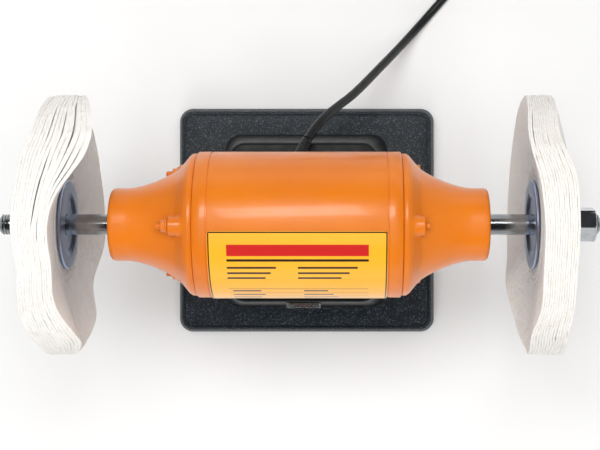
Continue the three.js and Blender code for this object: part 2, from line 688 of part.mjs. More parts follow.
function rotorCore() {
  const { radius, half, ringReach, vanes } = ROTOR;
  const core = ring(-half, half, SHAFT.middle + GAP, radius, ROUND);
  const parts = ENDS.flatMap(([, side]) => {
    const [near, far] = [side * (half - 1), side * (half + ringReach)];
    const endRing = ring(Math.min(near, far), Math.max(near, far), 20, radius - 1, ROUND);
    const blades = Array.from({ length: vanes }, (_, index) => {
      const [root, tip] = [side * (half + ringReach - 1), side * (half + ringReach + 9)];
      const blade = box(Math.min(root, tip), Math.max(root, tip), -1.2, 1.2, 21, radius - 2);
      return blade.rotateX((2 * Math.PI * index) / vanes);
    });
    return [endRing, ...blades];
  });
  return join(core, ...parts);
}

function shaft() {
  const { radius, seat, middle, end } = SHAFT;
  const bearingEnd = BEARING.inboard + BEARING.width;
  const half = [
    [BEARING.inboard - GAP, middle], [BEARING.inboard - GAP, seat], [bearingEnd, seat],
    [bearingEnd, radius], [end - 1.2, radius], [end, radius - 1.2], [end, 0],
  ];
  const other = half.map(([along, r]) => [-along, r]).reverse();
  return turned([...other, ...half], 24);
}

/** A pressed flange: a flat rim, and a middle pushed outboard by the depth of its dish. */
function innerFlange(side) {
  const { radius, thickness, inboard, dish, dishFloor, dishDepth } = FLANGE;
  const bore = SHAFT.radius + GAP;
  const outboard = inboard + thickness;
  return turned(sided([
    [inboard, dish], [inboard, radius], [outboard, radius], [outboard, dish + 1],
    [outboard + dishDepth, dishFloor + 1], [outboard + dishDepth, bore], [inboard + dishDepth, bore],
    [inboard + dishDepth, dishFloor], [inboard, dish],
  ], side));
}

function hubOutboardOn(side) {
  return side < 0 ? WHEEL.hubOutboard.left : WHEEL.hubOutboard.right;
}

function outerFlange(side) {
  const bore = SHAFT.radius + GAP;
  const hubOutboard = hubOutboardOn(side);
  const inboard = hubOutboard + GAP;
  const collarEnd = hubOutboard + NUT.fromHub - GAP;
  const outboard = inboard + FLANGE.thickness;
  return turned(sided([
    [inboard, bore], [inboard, FLANGE.radius], [outboard, FLANGE.radius], [outboard, 15],
    [collarEnd, 14], [collarEnd, bore], [inboard, bore],
  ], side));
}

/** The plain outer shape of a stitched cotton wheel: thin where it is clamped, flared at its rim. */
function buffWheel(side) {
  const { radius, hubInboard } = WHEEL;
  const hubOutboard = hubOutboardOn(side);
  const rim = side < 0 ? WHEEL.rim.left : WHEEL.rim.right;
  const bore = SHAFT.radius + GAP;
  return turned(sided([
    [hubInboard + 2, bore], [hubInboard + 2, FLANGE.dish], [hubInboard, FLANGE.dish + 3],
    [hubInboard, FLANGE.radius + 1], [rim + 6, 62], [rim, 90], [rim + 5, radius - 1.5], [186, radius],
    [195, radius - 1], [199, radius - 6], [200, 62], [hubOutboard, FLANGE.radius + 1],
    [hubOutboard, bore], [hubInboard + 2, bore],
  ], side), 32);
}

function arborNut(side) {
  const inboard = hubOutboardOn(side) + NUT.fromHub;
  const outboard = inboard + NUT.height;
  const [near, far] = [side * inboard, side * outboard];
  const hexagon = hexagonX(Math.min(near, far), Math.max(near, far), NUT.across);
  const corner = NUT.across / Math.sqrt(3);
  const chamfer = turned(sided([
    [inboard - 1, 0], [inboard - 1, corner + 1], [outboard - 2.2, corner + 1],
    [outboard + 0.6, corner - 3.4], [outboard + 0.6, 0],
  ], side), 18);
  const nut = solid(hexagon).intersect(solid(chamfer));
  const bore = barX(-SHAFT.end - 5, SHAFT.end + 5, SHAFT.radius + GAP, 20);
  return geometryOf(nut.subtract(solid(bore))).rotateX(radians(NUT.turn));
}

add(motor, 'shaft', shaft(), FINISH.polishedSteel);
add(motor, 'rotor_core', rotorCore(), FINISH.laminations);
for (const [name, side] of ENDS) {
  add(motor, `inner_flange_${name}`, innerFlange(side), FINISH.zinc);
  add(motor, `outer_flange_${name}`, outerFlange(side), FINISH.zinc);
  add(motor, `buff_wheel_${name}`, buffWheel(side), FINISH.cotton);
  add(motor, `arbor_nut_${name}`, arborNut(side), FINISH.chrome);
}

// ---------------------------------------------------------------- strain relief, cord, coil and plug

/** A grommet through the saddle's rear wall with a tapered sleeve that leans with the cord. */
function strainRelief() {
  const wallIn = RELIEF.y - SADDLE.wall;
  const grommet = turned([
    [wallIn - 3, 0], [wallIn - 3, RELIEF.neck], [RELIEF.y + GAP + 0.5, RELIEF.neck],
    [RELIEF.y + GAP + 0.5, 0],
  ], 20);
  const head = turned([
    [RELIEF.y + GAP, 0], [RELIEF.y + GAP, RELIEF.head], [RELIEF.y + RELIEF.headLength, RELIEF.head - 1],
    [RELIEF.y + RELIEF.headLength, 0],
  ], 20);
  const upright = join(grommet, head).rotateZ(Math.PI / 2).translate(RELIEF.x, 0, RELIEF.z);
  const root = new THREE.Vector3(RELIEF.x + 1, RELIEF.y + RELIEF.headLength, RELIEF.z);
  const tip = new THREE.Vector3(...CORD_ROUTE[0]);
  const along = tip.clone().sub(root);
  const length = along.length() - 3 * GAP;
  const sleeve = turned([[0, 0], [0, 6.6], [length, RELIEF.tip], [length, 0]], 20);
  const turn = new THREE.Quaternion().setFromUnitVectors(new THREE.Vector3(1, 0, 0), along.normalize());
  return join(upright, sleeve.applyQuaternion(turn).translate(root.x, root.y, root.z));
}

function cordCoil() {
  const { inner, outer, height } = COIL;
  const edge = 4;
  const profile = [
    [inner, edge], [inner + edge, 0], [outer - edge, 0], [outer, edge], [outer, height - edge],
    [outer - edge, height], [inner + edge, height], [inner, height - edge], [inner, edge],
  ];
  const points = profile.map(([radius, z]) => new THREE.Vector2(radius, z));
  return new THREE.LatheGeometry(points, 28).rotateX(Math.PI / 2);
}

/** A round two-pin plug lying on the bench on its rim and its grip. */
function plug() {
  const { radius, length, pin, pinReach } = PLUG;
  const body = turned([
    [0, 0], [0, 4.6], [22, 6.4], [22, 10], [44, 14], [56, radius], [length, radius], [length, 0],
  ], 20);
  const pins = [-9.5, 9.5].map((y) => barX(length - 1, length + pinReach, pin, 10).translate(0, y, 0));
  return join(body, ...pins).rotateY(radians(-PLUG.tilt)).rotateZ(Math.PI);
}

add(buffer, 'strain_relief', strainRelief(), FINISH.rubber);
add(buffer, 'power_cord', tubeAlong(CORD_ROUTE, CORD_RADIUS, 18), FINISH.rubber);
add(buffer, 'cord_coil', cordCoil(), FINISH.rubber, COIL.x, COIL.y, 0);
add(buffer, 'cord_tail', tubeAlong(CORD_TAIL, CORD_RADIUS, 4), FINISH.rubber);
add(buffer, 'plug', plug(), FINISH.blackPlastic, PLUG.x, PLUG.y, PLUG.z);

export default buffer;
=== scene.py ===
# %% [markdown]
# # A double-ended bench buffer
# An orange induction motor sits on a black pedestal and a cast base plate. Its long shaft carries a
# stitched cotton wheel at each end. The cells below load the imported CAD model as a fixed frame, then
# make each visible piece again with the finish that the real one has. Everything is in metres in one
# frame: +X along the shaft, +Y to the rear, +Z up. Sizes in the cells are in millimetres.

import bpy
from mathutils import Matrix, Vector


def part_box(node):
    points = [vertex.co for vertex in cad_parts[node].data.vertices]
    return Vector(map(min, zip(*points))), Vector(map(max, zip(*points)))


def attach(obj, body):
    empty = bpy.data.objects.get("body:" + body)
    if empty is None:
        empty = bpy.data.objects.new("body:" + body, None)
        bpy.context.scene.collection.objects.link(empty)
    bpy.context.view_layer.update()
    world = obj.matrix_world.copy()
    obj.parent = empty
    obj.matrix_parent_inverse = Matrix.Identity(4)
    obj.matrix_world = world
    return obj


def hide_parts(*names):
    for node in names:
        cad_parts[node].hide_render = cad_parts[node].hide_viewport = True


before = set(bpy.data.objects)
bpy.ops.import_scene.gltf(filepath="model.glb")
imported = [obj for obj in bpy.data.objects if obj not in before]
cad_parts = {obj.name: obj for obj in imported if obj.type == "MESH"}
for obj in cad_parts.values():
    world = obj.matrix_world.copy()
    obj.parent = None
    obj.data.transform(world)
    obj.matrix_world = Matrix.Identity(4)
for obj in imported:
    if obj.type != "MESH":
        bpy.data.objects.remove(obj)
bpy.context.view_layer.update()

import math
import random

import bmesh
import bpy
import numpy as np
from mathutils import Matrix, Vector

MM = 0.001
SIDES = (("left", -1), ("right", 1))


def box_mm(node):
    """The lowest and highest corner of a CAD node, in millimetres."""
    low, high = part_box(node)
    return np.array(low) / MM, np.array(high) / MM


shaft_low, shaft_high = box_mm("shaft")
AXIS_Z = (shaft_low[2] + shaft_high[2]) / 2

# %% [markdown]
# ## The camera
# The machine is seen from straight above, through a long lens whose middle is a little to the right
# of the motor. A small shift slides the frame over without turning the camera, as the rising front of
# a view camera does. A turned camera would make the upright sides of the base run together.

# %% The camera
CAMERA_HEIGHT = AXIS_Z * MM + 1.0

lens = bpy.data.cameras.new("camera")
lens.lens = 78
lens.sensor_width = 36
lens.shift_x = -0.075
lens.shift_y = -0.0483
lens.clip_start = 0.02
camera = bpy.data.objects.new("camera", lens)
camera.location = (0.0346, 0.0219, CAMERA_HEIGHT)
bpy.context.scene.collection.objects.link(camera)
bpy.context.scene.camera = camera
bpy.context.scene.view_settings.view_transform = "Standard"
print("camera", round(CAMERA_HEIGHT, 3), "m above the bench")

# %% [markdown]
# ## The power cord
# A three-core rubber-sheathed cord leaves the back of the saddle, bends down to the bench and runs
# out behind the machine. The rest of it is wound in a flat coil of two layers, as for storage, and
# ends in its plug. A cord is a fixed length that lies under its own weight, so its path is chosen
# first and everything else about it follows. A Bezier curve with automatic handles passes smoothly
# through every chosen point, and its round bevel gives the sheath.

# %% The cord's route
CORD_DIAMETER = 7.4
CORD_RADIUS = CORD_DIAMETER / 2
ROUTE = [
    (4.1, 68.8, 122.4), (10.7, 78.7, 118), (18, 87.3, 112), (27.9, 96.3, 102), (38.8, 105.5, 90),
    (47.4, 114.1, 78), (54.4, 121.8, 68), (66, 135, 50.5), (77, 147.5, 33.5), (86.5, 158.5, 20),
    (96, 169.5, 10.5), (106, 181, 5.2), (117, 193.5, 3.8), (134.2, 213.3, 3.8),
]
TAIL = [
    (98, 325.2, 10), (83.5, 325.2, 6.6), (74, 325.2, 4.4), (64, 325.2, 3.8), (57.5, 325.2, 4.1),
    (52.4, 325.2, 5),
]
coil_low, coil_high = box_mm("cord_coil")
COIL_CENTRE = (coil_low + coil_high)[:2] / 2
COIL_OUTER = 53.7
COIL_INNER = 33.3
COIL_START = math.radians(-41.3)
COIL_TURNS = 5.365
POINTS_PER_TURN = 16
LOW_LAYER = 3.8
HIGH_LAYER = 11.2


def smooth(t):
    """0 below 0, 1 above 1, and an S-shaped rise between them; numbers or arrays."""
    t = np.clip(t, 0, 1)
    return t * t * (3 - 2 * t)


def coil_points():
    """A layer wound inwards on the bench, and one wound outwards on top of it."""
    count = round(COIL_TURNS * POINTS_PER_TURN)
    points = []
    for i in range(count + 1):
        share = i / count
        angle = COIL_START + 2 * math.pi * COIL_TURNS * share
        inwards = 1 - abs(1 - 2 * share)
        radius = COIL_OUTER + (COIL_INNER - COIL_OUTER) * inwards
        height = LOW_LAYER + (HIGH_LAYER - LOW_LAYER) * smooth((share - 0.46) / 0.08)
        x, y = COIL_CENTRE + radius * np.array((math.cos(angle), math.sin(angle)))
        points.append((float(x), float(y), float(height)))
    return points


cord_points = ROUTE + coil_points() + TAIL
curve = bpy.data.curves.new("power_cord", "CURVE")
curve.dimensions = "3D"
curve.bevel_depth = CORD_RADIUS * MM
curve.bevel_resolution = 5
curve.resolution_u = 5
curve.use_fill_caps = True
spline = curve.splines.new("BEZIER")
spline.bezier_points.add(len(cord_points) - 1)
for knot, point in zip(spline.bezier_points, cord_points):
    knot.co = Vector(point) * MM
    knot.handle_left_type = "AUTO"
    knot.handle_right_type = "AUTO"
cord = bpy.data.objects.new("power_cord_sheath", curve)
bpy.context.scene.collection.objects.link(cord)
path_length = sum(math.dist(a, b) for a, b in zip(cord_points, cord_points[1:]))
print("cord:", len(cord_points), "points, about", round(path_length), "mm along them")

# %% [markdown]
# ## Colours and nodes
# A paint chart gives sRGB values, and the renderer works in linear light, so one function turns hex
# colours to linear ones. One more adds a node with its settings and its links. Every material below
# is written with these two.

# %% Helpers for materials


def linear(hex_colour):
    """An sRGB hex colour as linear RGBA."""
    channels = [int(hex_colour[i:i + 2], 16) / 255 for i in (1, 3, 5)]
    return [c / 12.92 if c <= 0.04045 else ((c + 0.055) / 1.055) ** 2.4 for c in channels] + [1]


def add(tree, kind, inputs=None, **settings):
    """A new node; an input is a value, or the output socket that it is linked from."""
    node = tree.nodes.new(kind)
    for name, value in settings.items():
        setattr(node, name, value)
    for name, value in (inputs or {}).items():
        if isinstance(value, bpy.types.NodeSocket):
            tree.links.new(value, node.inputs[name])
        else:
            node.inputs[name].default_value = value
    return node


def finish(name, **constants):
    """A material with one Principled shader, its constant sockets set, and Object coordinates."""
    material = bpy.data.materials.new(name)
    material.use_nodes = True
    tree = material.node_tree
    shader = tree.nodes["Principled BSDF"]
    for socket, value in constants.items():
        socket = socket.replace("_", " ")
        shader.inputs[socket].default_value = linear(value) if isinstance(value, str) else value
    place = add(tree, "ShaderNodeTexCoord").outputs["Object"]
    return material, tree, shader, place


def mottle(tree, place, size_mm, low, high, detail=3.0):
    """A soft random value from low to high, that changes over about size_mm."""
    noise = add(tree, "ShaderNodeTexNoise", {"Vector": place, "Scale": 1 / (size_mm * MM), "Detail": detail})
    spread = {"Value": noise.outputs[0], "From Min": 0.3, "From Max": 0.7, "To Min": low, "To Max": high}
    return add(tree, "ShaderNodeMapRange", spread).outputs[0]


def blend_colours(tree, share, first, second):
    """Colour first where share is 0 and second where it is 1; each is hex or a socket."""
    colours = [linear(c) if isinstance(c, str) else c for c in (first, second)]
    node = add(tree, "ShaderNodeMix", data_type="RGBA")
    for index, value in ((0, share), (6, colours[0]), (7, colours[1])):
        if isinstance(value, bpy.types.NodeSocket):
            tree.links.new(value, node.inputs[index])
        else:
            node.inputs[index].default_value = value
    return node.outputs[2]


def emboss(tree, shader, height, depth_mm, below=None):
    """A bump of depth_mm from a height of 0 to 1, over any bump below it."""
    inputs = {"Height": height, "Distance": depth_mm * MM, "Strength": 1.0}
    if below is not None:
        inputs["Normal"] = below
    normal = add(tree, "ShaderNodeBump", inputs).outputs[0]
    tree.links.new(normal, shader.inputs["Normal"])
    return normal


def feed(tree, socket, shader, name):
    tree.links.new(socket, shader.inputs[name])


def axis_distance(tree, place):
    """How far a point lies from the shaft's axis, in metres."""
    flat = add(tree, "ShaderNodeVectorMath", {0: place, 1: (0, 1, 1)}, operation="MULTIPLY").outputs[0]
    centred = add(tree, "ShaderNodeVectorMath", {0: flat, 1: (0, 0, AXIS_Z * MM)}, operation="SUBTRACT")
    return add(tree, "ShaderNodeVectorMath", {0: centred.outputs[0]}, operation="LENGTH").outputs[1]


print("one millimetre is", MM, "of Blender's units")

# %% [markdown]
# ## Paints
# The motor has a gloss orange alkyd enamel over castings and tube. Sprayed enamel flows out to a
# faint orange peel, ripples of 2 to 3 mm, under a clear hard gloss. The base plate has a textured
# powder coat: it cures to a crinkle about 1 mm across with a dull sheen. Light flecks scattered in
# its colour are painted glints, standing in for peaks that catch the light. The pedestal and saddle
# have a smoother satin black.

# %% Paints


def gloss_orange_enamel():
    material, tree, shader, place = finish(
        "gloss_orange_enamel", Roughness=0.38, IOR=1.5, Coat_Weight=0.25, Coat_Roughness=0.08)
    tone = blend_colours(tree, mottle(tree, place, 60, 0, 1), "#E27A05", "#D87003")
    feed(tree, tone, shader, "Base Color")
    feed(tree, mottle(tree, place, 25, 0.3, 0.38), shader, "Roughness")
    emboss(tree, shader, mottle(tree, place, 5, 0, 1, 1.0), 0.035)
    return material


def crinkle_powder_coat():
    # the crinkle is drawn at 1.4 mm, a little coarser than real, so that it shows
    material, tree, shader, place = finish("crinkle_powder_coat", Roughness=0.5, IOR=1.5)
    crinkle = add(tree, "ShaderNodeTexVoronoi", {"Vector": place, "Scale": 1 / (1.4 * MM)},
                  feature="SMOOTH_F1").outputs["Distance"]
    # painted glints: light grey flecks at random in the colour, standing in for crinkle peaks that catch the
    # light
    painted_glints = add(tree, "ShaderNodeMapRange",
                 {"Value": mottle(tree, place, 0.9, 0, 1, 2.0), "From Min": 0.72, "From Max": 1.0}).outputs[0]
    base = blend_colours(tree, mottle(tree, place, 8, 0, 1), "#12191D", "#1B242B")
    feed(tree, blend_colours(tree, painted_glints, base, "#66707A"), shader, "Base Color")
    feed(tree, mottle(tree, place, 2, 0.42, 0.62), shader, "Roughness")
    emboss(tree, shader, crinkle, 0.35)
    return material


def satin_black_paint():
    material, tree, shader, place = finish(
        "satin_black_paint", Roughness=0.42, IOR=1.5, Specular_IOR_Level=0.3)
    tone = blend_colours(tree, mottle(tree, place, 30, 0, 1), "#040606", "#080B0A")
    feed(tree, tone, shader, "Base Color")
    feed(tree, mottle(tree, place, 6, 0.36, 0.5), shader, "Roughness")
    emboss(tree, shader, mottle(tree, place, 2.5, 0, 1, 2.0), 0.05)
    return material


orange = gloss_orange_enamel()
crinkle = crinkle_powder_coat()
satin_black = satin_black_paint()
print("paints:", orange.name, crinkle.name, satin_black.name)

# %% [markdown]
# ## Metals
# The shaft is ground and polished, so it mirrors with the finest rings round it. The flanges are
# stamped and bright zinc plated, which leaves a bluish cast, slightly cloudy. The nuts are nickel
# chrome. Laminations are dull blue-grey steel in 0.5 mm sheets, the windings are copper under a
# red-brown varnish, and the capacitor is drawn aluminium. Metals keep the default IOR, because their
# colour sets how they reflect.

# %% Metals


def ringed_metal(name, dark, light, roughness, ring_mm, ring_depth_mm):
    """A metal turned on a lathe: rings round the shaft's axis, seen as fine lines of light."""
    material, tree, shader, place = finish(name, Metallic=1.0, Roughness=roughness)
    apart = add(tree, "ShaderNodeSeparateXYZ", {0: place})
    radius = axis_distance(tree, place)
    along = add(tree, "ShaderNodeMath", {0: apart.outputs[0], 1: radius}, operation="ADD").outputs[0]
    lines = add(tree, "ShaderNodeTexNoise", {"W": along, "Scale": 1 / (ring_mm * MM), "Detail": 2.0},
                noise_dimensions="1D").outputs[0]
    tone = blend_colours(tree, mottle(tree, place, 12, 0, 1), dark, light)
    feed(tree, tone, shader, "Base Color")
    feed(tree, mottle(tree, place, 5, roughness * 0.75, roughness * 1.3), shader, "Roughness")
    emboss(tree, shader, lines, ring_depth_mm)
    return material


def spangled_metal(name, dark, light, roughness, grain_mm):
    """A plated or drawn sheet metal: a faint cloudy change of tone, and a nearly flat skin."""
    material, tree, shader, place = finish(name, Metallic=1.0, Roughness=roughness)
    feed(tree, blend_colours(tree, mottle(tree, place, grain_mm, 0, 1), dark, light), shader, "Base Color")
    feed(tree, mottle(tree, place, 3, roughness * 0.8, roughness * 1.3), shader, "Roughness")
    emboss(tree, shader, mottle(tree, place, 4, 0, 1), 0.01)
    return material


def laminated_steel():
    # the sheets are 0.5 mm thick and drawn at 1 mm, so that they can be seen
    material, tree, shader, place = finish("laminated_steel", Metallic=1.0, Roughness=0.5)
    sheets = add(tree, "ShaderNodeTexWave", {"Vector": place, "Scale": 50.0, "Distortion": 0.4},
                 bands_direction="X").outputs["Fac"]
    feed(tree, blend_colours(tree, sheets, "#4A4E52", "#7C8287"), shader, "Base Color")
    emboss(tree, shader, sheets, 0.1)
    return material


def varnished_copper():
    material, tree, shader, place = finish("varnished_copper_wire", Metallic=0.85, Roughness=0.3)
    wires = add(tree, "ShaderNodeTexWave", {"Vector": place, "Scale": 90.0, "Distortion": 3.0},
                wave_type="RINGS", rings_direction="X").outputs["Fac"]
    feed(tree, blend_colours(tree, wires, "#5E2712", "#B4643A"), shader, "Base Color")
    emboss(tree, shader, wires, 0.35)
    return material


steel = ringed_metal("ground_polished_steel", "#8B8E90", "#A9ACAE", 0.15, 0.6, 0.003)
zinc = spangled_metal("bright_zinc_plate", "#A3B1CC", "#AEBBD2", 0.36, 9.0)
chrome = spangled_metal("nickel_chrome_plate", "#B4B7BA", "#C6C9CC", 0.12, 8.0)
laminations = laminated_steel()
copper = varnished_copper()
aluminium = spangled_metal("drawn_aluminium", "#B5B7B8", "#CFD1D2", 0.34, 5.0)
print("metals:", steel.name, zinc.name, chrome.name)

# %% [markdown]
# ## Rubber, plastics and felt
# The cord's sheath and plug are soft PVC with a low sheen. The feet are moulded rubber, dusted grey.
# The switch is gloss black polyamide under a clear polycarbonate splash cover that diffuses light a
# little where it is scuffed. The seals are grey wool felt.

# %% Rubber, plastics and felt


def moulded(name, dark, light, roughness, grain_mm, depth_mm, **constants):
    """A moulded plastic or rubber: slight tone changes and the mould's eroded grain."""
    material, tree, shader, place = finish(name, Roughness=roughness, **constants)
    tone = blend_colours(tree, mottle(tree, place, 12, 0, 1), dark, light)
    feed(tree, tone, shader, "Base Color")
    feed(tree, mottle(tree, place, 3, roughness * 0.85, roughness * 1.2), shader, "Roughness")
    emboss(tree, shader, mottle(tree, place, grain_mm, 0, 1), depth_mm)
    return material


def scuffed_clear_cover():
    material, tree, shader, place = finish(
        "clear_polycarbonate", Base_Color="#E9F0F2", IOR=1.585, Transmission_Weight=0.96, Roughness=0.06)
    feed(tree, mottle(tree, place, 4, 0.02, 0.1), shader, "Roughness")
    emboss(tree, shader, mottle(tree, place, 3, 0, 1), 0.02)
    return material


cord_pvc = moulded("soft_black_pvc", "#0B0C0D", "#151719", 0.4, 0.8, 0.03)
foot_rubber = moulded("moulded_black_rubber", "#101112", "#232526", 0.7, 0.7, 0.08)
black_nylon = moulded("black_polyamide", "#0C0D0E", "#16181A", 0.3, 0.6, 0.02)
white_nylon = moulded("white_polyamide", "#D9D7CE", "#E8E6DE", 0.45, 0.8, 0.03)
felt = moulded("grey_wool_felt", "#4B4A46", "#77746C", 0.95, 0.5, 0.3, Sheen_Weight=0.4)
clear_cover = scuffed_clear_cover()
cord.data.materials.append(cord_pvc)
print("cord sheath:", cord_pvc.name)

# %% [markdown]
# ## Turning outlines into closed skins
# Most of the machine is round about the shaft, and the rest is rounded rectangles that change with
# height. Both are the same thing to make: a row of rings, each with the same number of points, and
# quads from each ring to the next. A ring that shrinks to a point closes on the axis when doubles
# are merged. Corners of an outline are softened first, because no edge on a casting or a turned part
# is truly sharp, and it is the small rounds that catch the light.

# %% Helpers for shapes


def soften(outline, radius, steps=4, closed=False):
    """Rounds the corners of an outline of 2-D points with short arcs of about that radius."""
    points = [np.array(p, float) for p in outline]
    count = len(points)
    result = []
    for i, corner in enumerate(points):
        if not closed and i in (0, count - 1):
            result.append(corner)
            continue
        before, after = points[i - 1], points[(i + 1) % count]
        to_before, to_after = before - corner, after - corner
        reach_before = min(radius, 0.45 * np.linalg.norm(to_before))
        reach_after = min(radius, 0.45 * np.linalg.norm(to_after))
        start = corner + to_before / np.linalg.norm(to_before) * reach_before
        end = corner + to_after / np.linalg.norm(to_after) * reach_after
        for step in range(steps + 1):
            t = step / steps
            result.append((1 - t) ** 2 * start + 2 * t * (1 - t) * corner + t * t * end)
    return result


def skin(rings, closed=False):
    """(points, faces) of rings of equal count; closed joins the last ring to the first."""
    rings = np.array(rings)
    total, around = rings.shape[:2]
    faces = []
    for i in range(total if closed else total - 1):
        first, second = i * around, ((i + 1) % total) * around
        for j in range(around):
            k = (j + 1) % around
            faces.append((first + j, first + k, second + k, second + j))
    return rings.reshape(-1, 3), faces


def merged(*shapes):
    """Several (points, faces) as one."""
    points, faces, start = [], [], 0
    for shape_points, shape_faces in shapes:
        points.append(np.array(shape_points, float))
        faces += [tuple(i + start for i in face) for face in shape_faces]
        start += len(shape_points)
    return np.concatenate(points), faces


def moved(shape, matrix):
    """A shape through a 4 by 4 matrix in millimetres."""
    points = np.array(shape[0]) @ np.array(matrix.to_3x3()).T + np.array(matrix.translation)
    return points, shape[1]


def turned_about_x(outline, segments=96, height=AXIS_Z, closed=True):
    """A lathe about the X axis at that height; the outline is (x, radius) pairs."""
    angles = np.linspace(0, 2 * math.pi, segments, endpoint=False)
    rings = [[(x, r * math.sin(a), height + r * math.cos(a)) for a in angles] for x, r in outline]
    return skin(rings, closed)


def rounded_rectangle(half_width, half_depth, corner, height, steps=8):
    """A ring at that height, with the same count of points whatever its size."""
    points = []
    for quarter, (sx, sy) in enumerate(((1, 1), (-1, 1), (-1, -1), (1, -1))):
        for step in range(steps + 1):
            angle = math.pi / 2 * (quarter + step / steps)
            x = sx * (half_width - corner) + corner * math.cos(angle)
            y = sy * (half_depth - corner) + corner * math.sin(angle)
            points.append((x, y, height))
    return points


def mesh_of(name, shape, sharp=32.0, mend=True):
    """A mesh in metres: doubles merged, faces outwards, smooth but for edges over that angle."""
    points, faces = shape
    mesh = bpy.data.meshes.new(name)
    mesh.from_pydata([tuple(p) for p in np.array(points) * MM], [], faces)
    if mend:
        edit = bmesh.new()
        edit.from_mesh(mesh)
        bmesh.ops.remove_doubles(edit, verts=edit.verts, dist=1e-6)
        bmesh.ops.dissolve_degenerate(edit, edges=edit.edges, dist=1e-7)
        bmesh.ops.recalc_face_normals(edit, faces=edit.faces)
        edit.to_mesh(mesh)
        edit.free()
    mesh.shade_smooth()
    mesh.set_sharp_from_angle(angle=math.radians(sharp))
    return mesh


def shape_of(mesh):
    """(points, faces) of a mesh, in millimetres."""
    return np.array([v.co for v in mesh.vertices]) / MM, [tuple(p.vertices) for p in mesh.polygons]


def piece(name, shape, material, body, slot, stands_for=(), **options):
    """A finished piece: its mesh, its material, the body it rides on and its CAD nodes; slot is not used."""
    mesh = shape if isinstance(shape, bpy.types.Mesh) else mesh_of(name, shape, **options)
    mesh.materials.clear()
    mesh.materials.append(material)
    made = bpy.data.objects.new(name, mesh)
    bpy.context.scene.collection.objects.link(made)
    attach(made, body)
    if stands_for:
        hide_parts(*stands_for)
    return made


def carved(shape, *cutters, sharp=32.0):
    """The shape less its cutters, by exact Boolean modifiers that are then applied."""
    target = bpy.data.objects.new("target", mesh_of("target", shape))
    bpy.context.scene.collection.objects.link(target)
    helpers = []
    for cutter in cutters:
        helper = bpy.data.objects.new("cutter", mesh_of("cutter", cutter))
        bpy.context.scene.collection.objects.link(helper)
        modifier = target.modifiers.new("cut", "BOOLEAN")
        modifier.operation = "DIFFERENCE"
        modifier.solver = "EXACT"
        modifier.object = helper
        helpers.append(helper)
    graph = bpy.context.evaluated_depsgraph_get()
    mesh = bpy.data.meshes.new_from_object(target.evaluated_get(graph))
    for done in [target, *helpers]:
        bpy.data.objects.remove(done, do_unlink=True)
    mesh.shade_smooth()
    mesh.set_sharp_from_angle(angle=math.radians(sharp))
    return mesh


print("rings of a rounded rectangle have", len(rounded_rectangle(1, 1, 0.2, 0)), "points")

# %% [markdown]
# ## Geometry Nodes for what repeats
# Two things on the machine follow a rule: stitches round a circle and a thread round a rod. Each
# gets a small tree with named inputs. The tree ends with Realize Instances and Set Material, and its
# result is taken out as a plain mesh, because the exported model drops instances.

# %% Helpers for Geometry Nodes


def new_tree(name, inputs):
    """A tree with one geometry output, its named inputs, and its group input node."""
    tree = bpy.data.node_groups.new(name, "GeometryNodeTree")
    tree.interface.new_socket("Geometry", in_out="OUTPUT", socket_type="NodeSocketGeometry")
    for label, kind in inputs:
        tree.interface.new_socket(label, in_out="INPUT", socket_type=kind)
    tree.is_modifier = True
    return tree, add(tree, "NodeGroupInput")


def grown(tree, name, **values):
    """The tree's result as a plain mesh, for those input values."""
    host = bpy.data.objects.new("host", bpy.data.meshes.new("host"))
    bpy.context.scene.collection.objects.link(host)
    modifier = host.modifiers.new("grow", "NODES")
    modifier.node_group = tree
    for item in tree.interface.items_tree:
        if item.in_out == "INPUT" and item.name.replace(" ", "_") in values:
            modifier[item.identifier] = values[item.name.replace(" ", "_")]
    graph = bpy.context.evaluated_depsgraph_get()
    mesh = bpy.data.meshes.new_from_object(host.evaluated_get(graph))
    mesh.name = name
    bpy.data.objects.remove(host, do_unlink=True)
    return mesh


def stitch_tree():
    """Short threads, end to end round a circle about the X axis, each bowed into the cloth."""
    tree, given = new_tree("stitch_circle", (
        ("Radius", "NodeSocketFloat"), ("Stitches", "NodeSocketInt"), ("Length", "NodeSocketFloat"),
        ("Thread", "NodeSocketFloat"), ("Along", "NodeSocketFloat"), ("Height", "NodeSocketFloat"),
        ("Material", "NodeSocketMaterial")))
    circle = add(tree, "GeometryNodeMeshCircle",
                 {"Vertices": given.outputs["Stitches"], "Radius": given.outputs["Radius"]})
    normal = add(tree, "GeometryNodeInputPosition")
    turn = add(tree, "FunctionNodeAlignRotationToVector", {"Vector": normal.outputs[0]}, axis="X")
    thread = add(tree, "GeometryNodeMeshUVSphere", {"Segments": 6, "Rings": 6, "Radius": 1.0})
    size = add(tree, "ShaderNodeCombineXYZ", {
        0: given.outputs["Thread"], 1: given.outputs["Length"], 2: given.outputs["Thread"]})
    bead = add(tree, "GeometryNodeTransform", {"Geometry": thread.outputs[0], "Scale": size.outputs[0]})
    row = add(tree, "GeometryNodeInstanceOnPoints", {
        "Points": circle.outputs[0], "Instance": bead.outputs[0], "Rotation": turn.outputs[0]})
    real = add(tree, "GeometryNodeRealizeInstances", {"Geometry": row.outputs[0]})
    at = add(tree, "ShaderNodeCombineXYZ", {
        0: given.outputs["Along"], 1: 0.0, 2: given.outputs["Height"]})
    stood = add(tree, "GeometryNodeTransform", {
        "Geometry": real.outputs[0], "Rotation": (0, math.pi / 2, 0), "Translation": at.outputs[0]})
    smooth_faces = add(tree, "GeometryNodeSetShadeSmooth", {"Geometry": stood.outputs[0]})
    painted = add(tree, "GeometryNodeSetMaterial", {
        "Geometry": smooth_faces.outputs[0], "Material": given.outputs["Material"]})
    add(tree, "NodeGroupOutput", {0: painted.outputs[0]})
    return tree


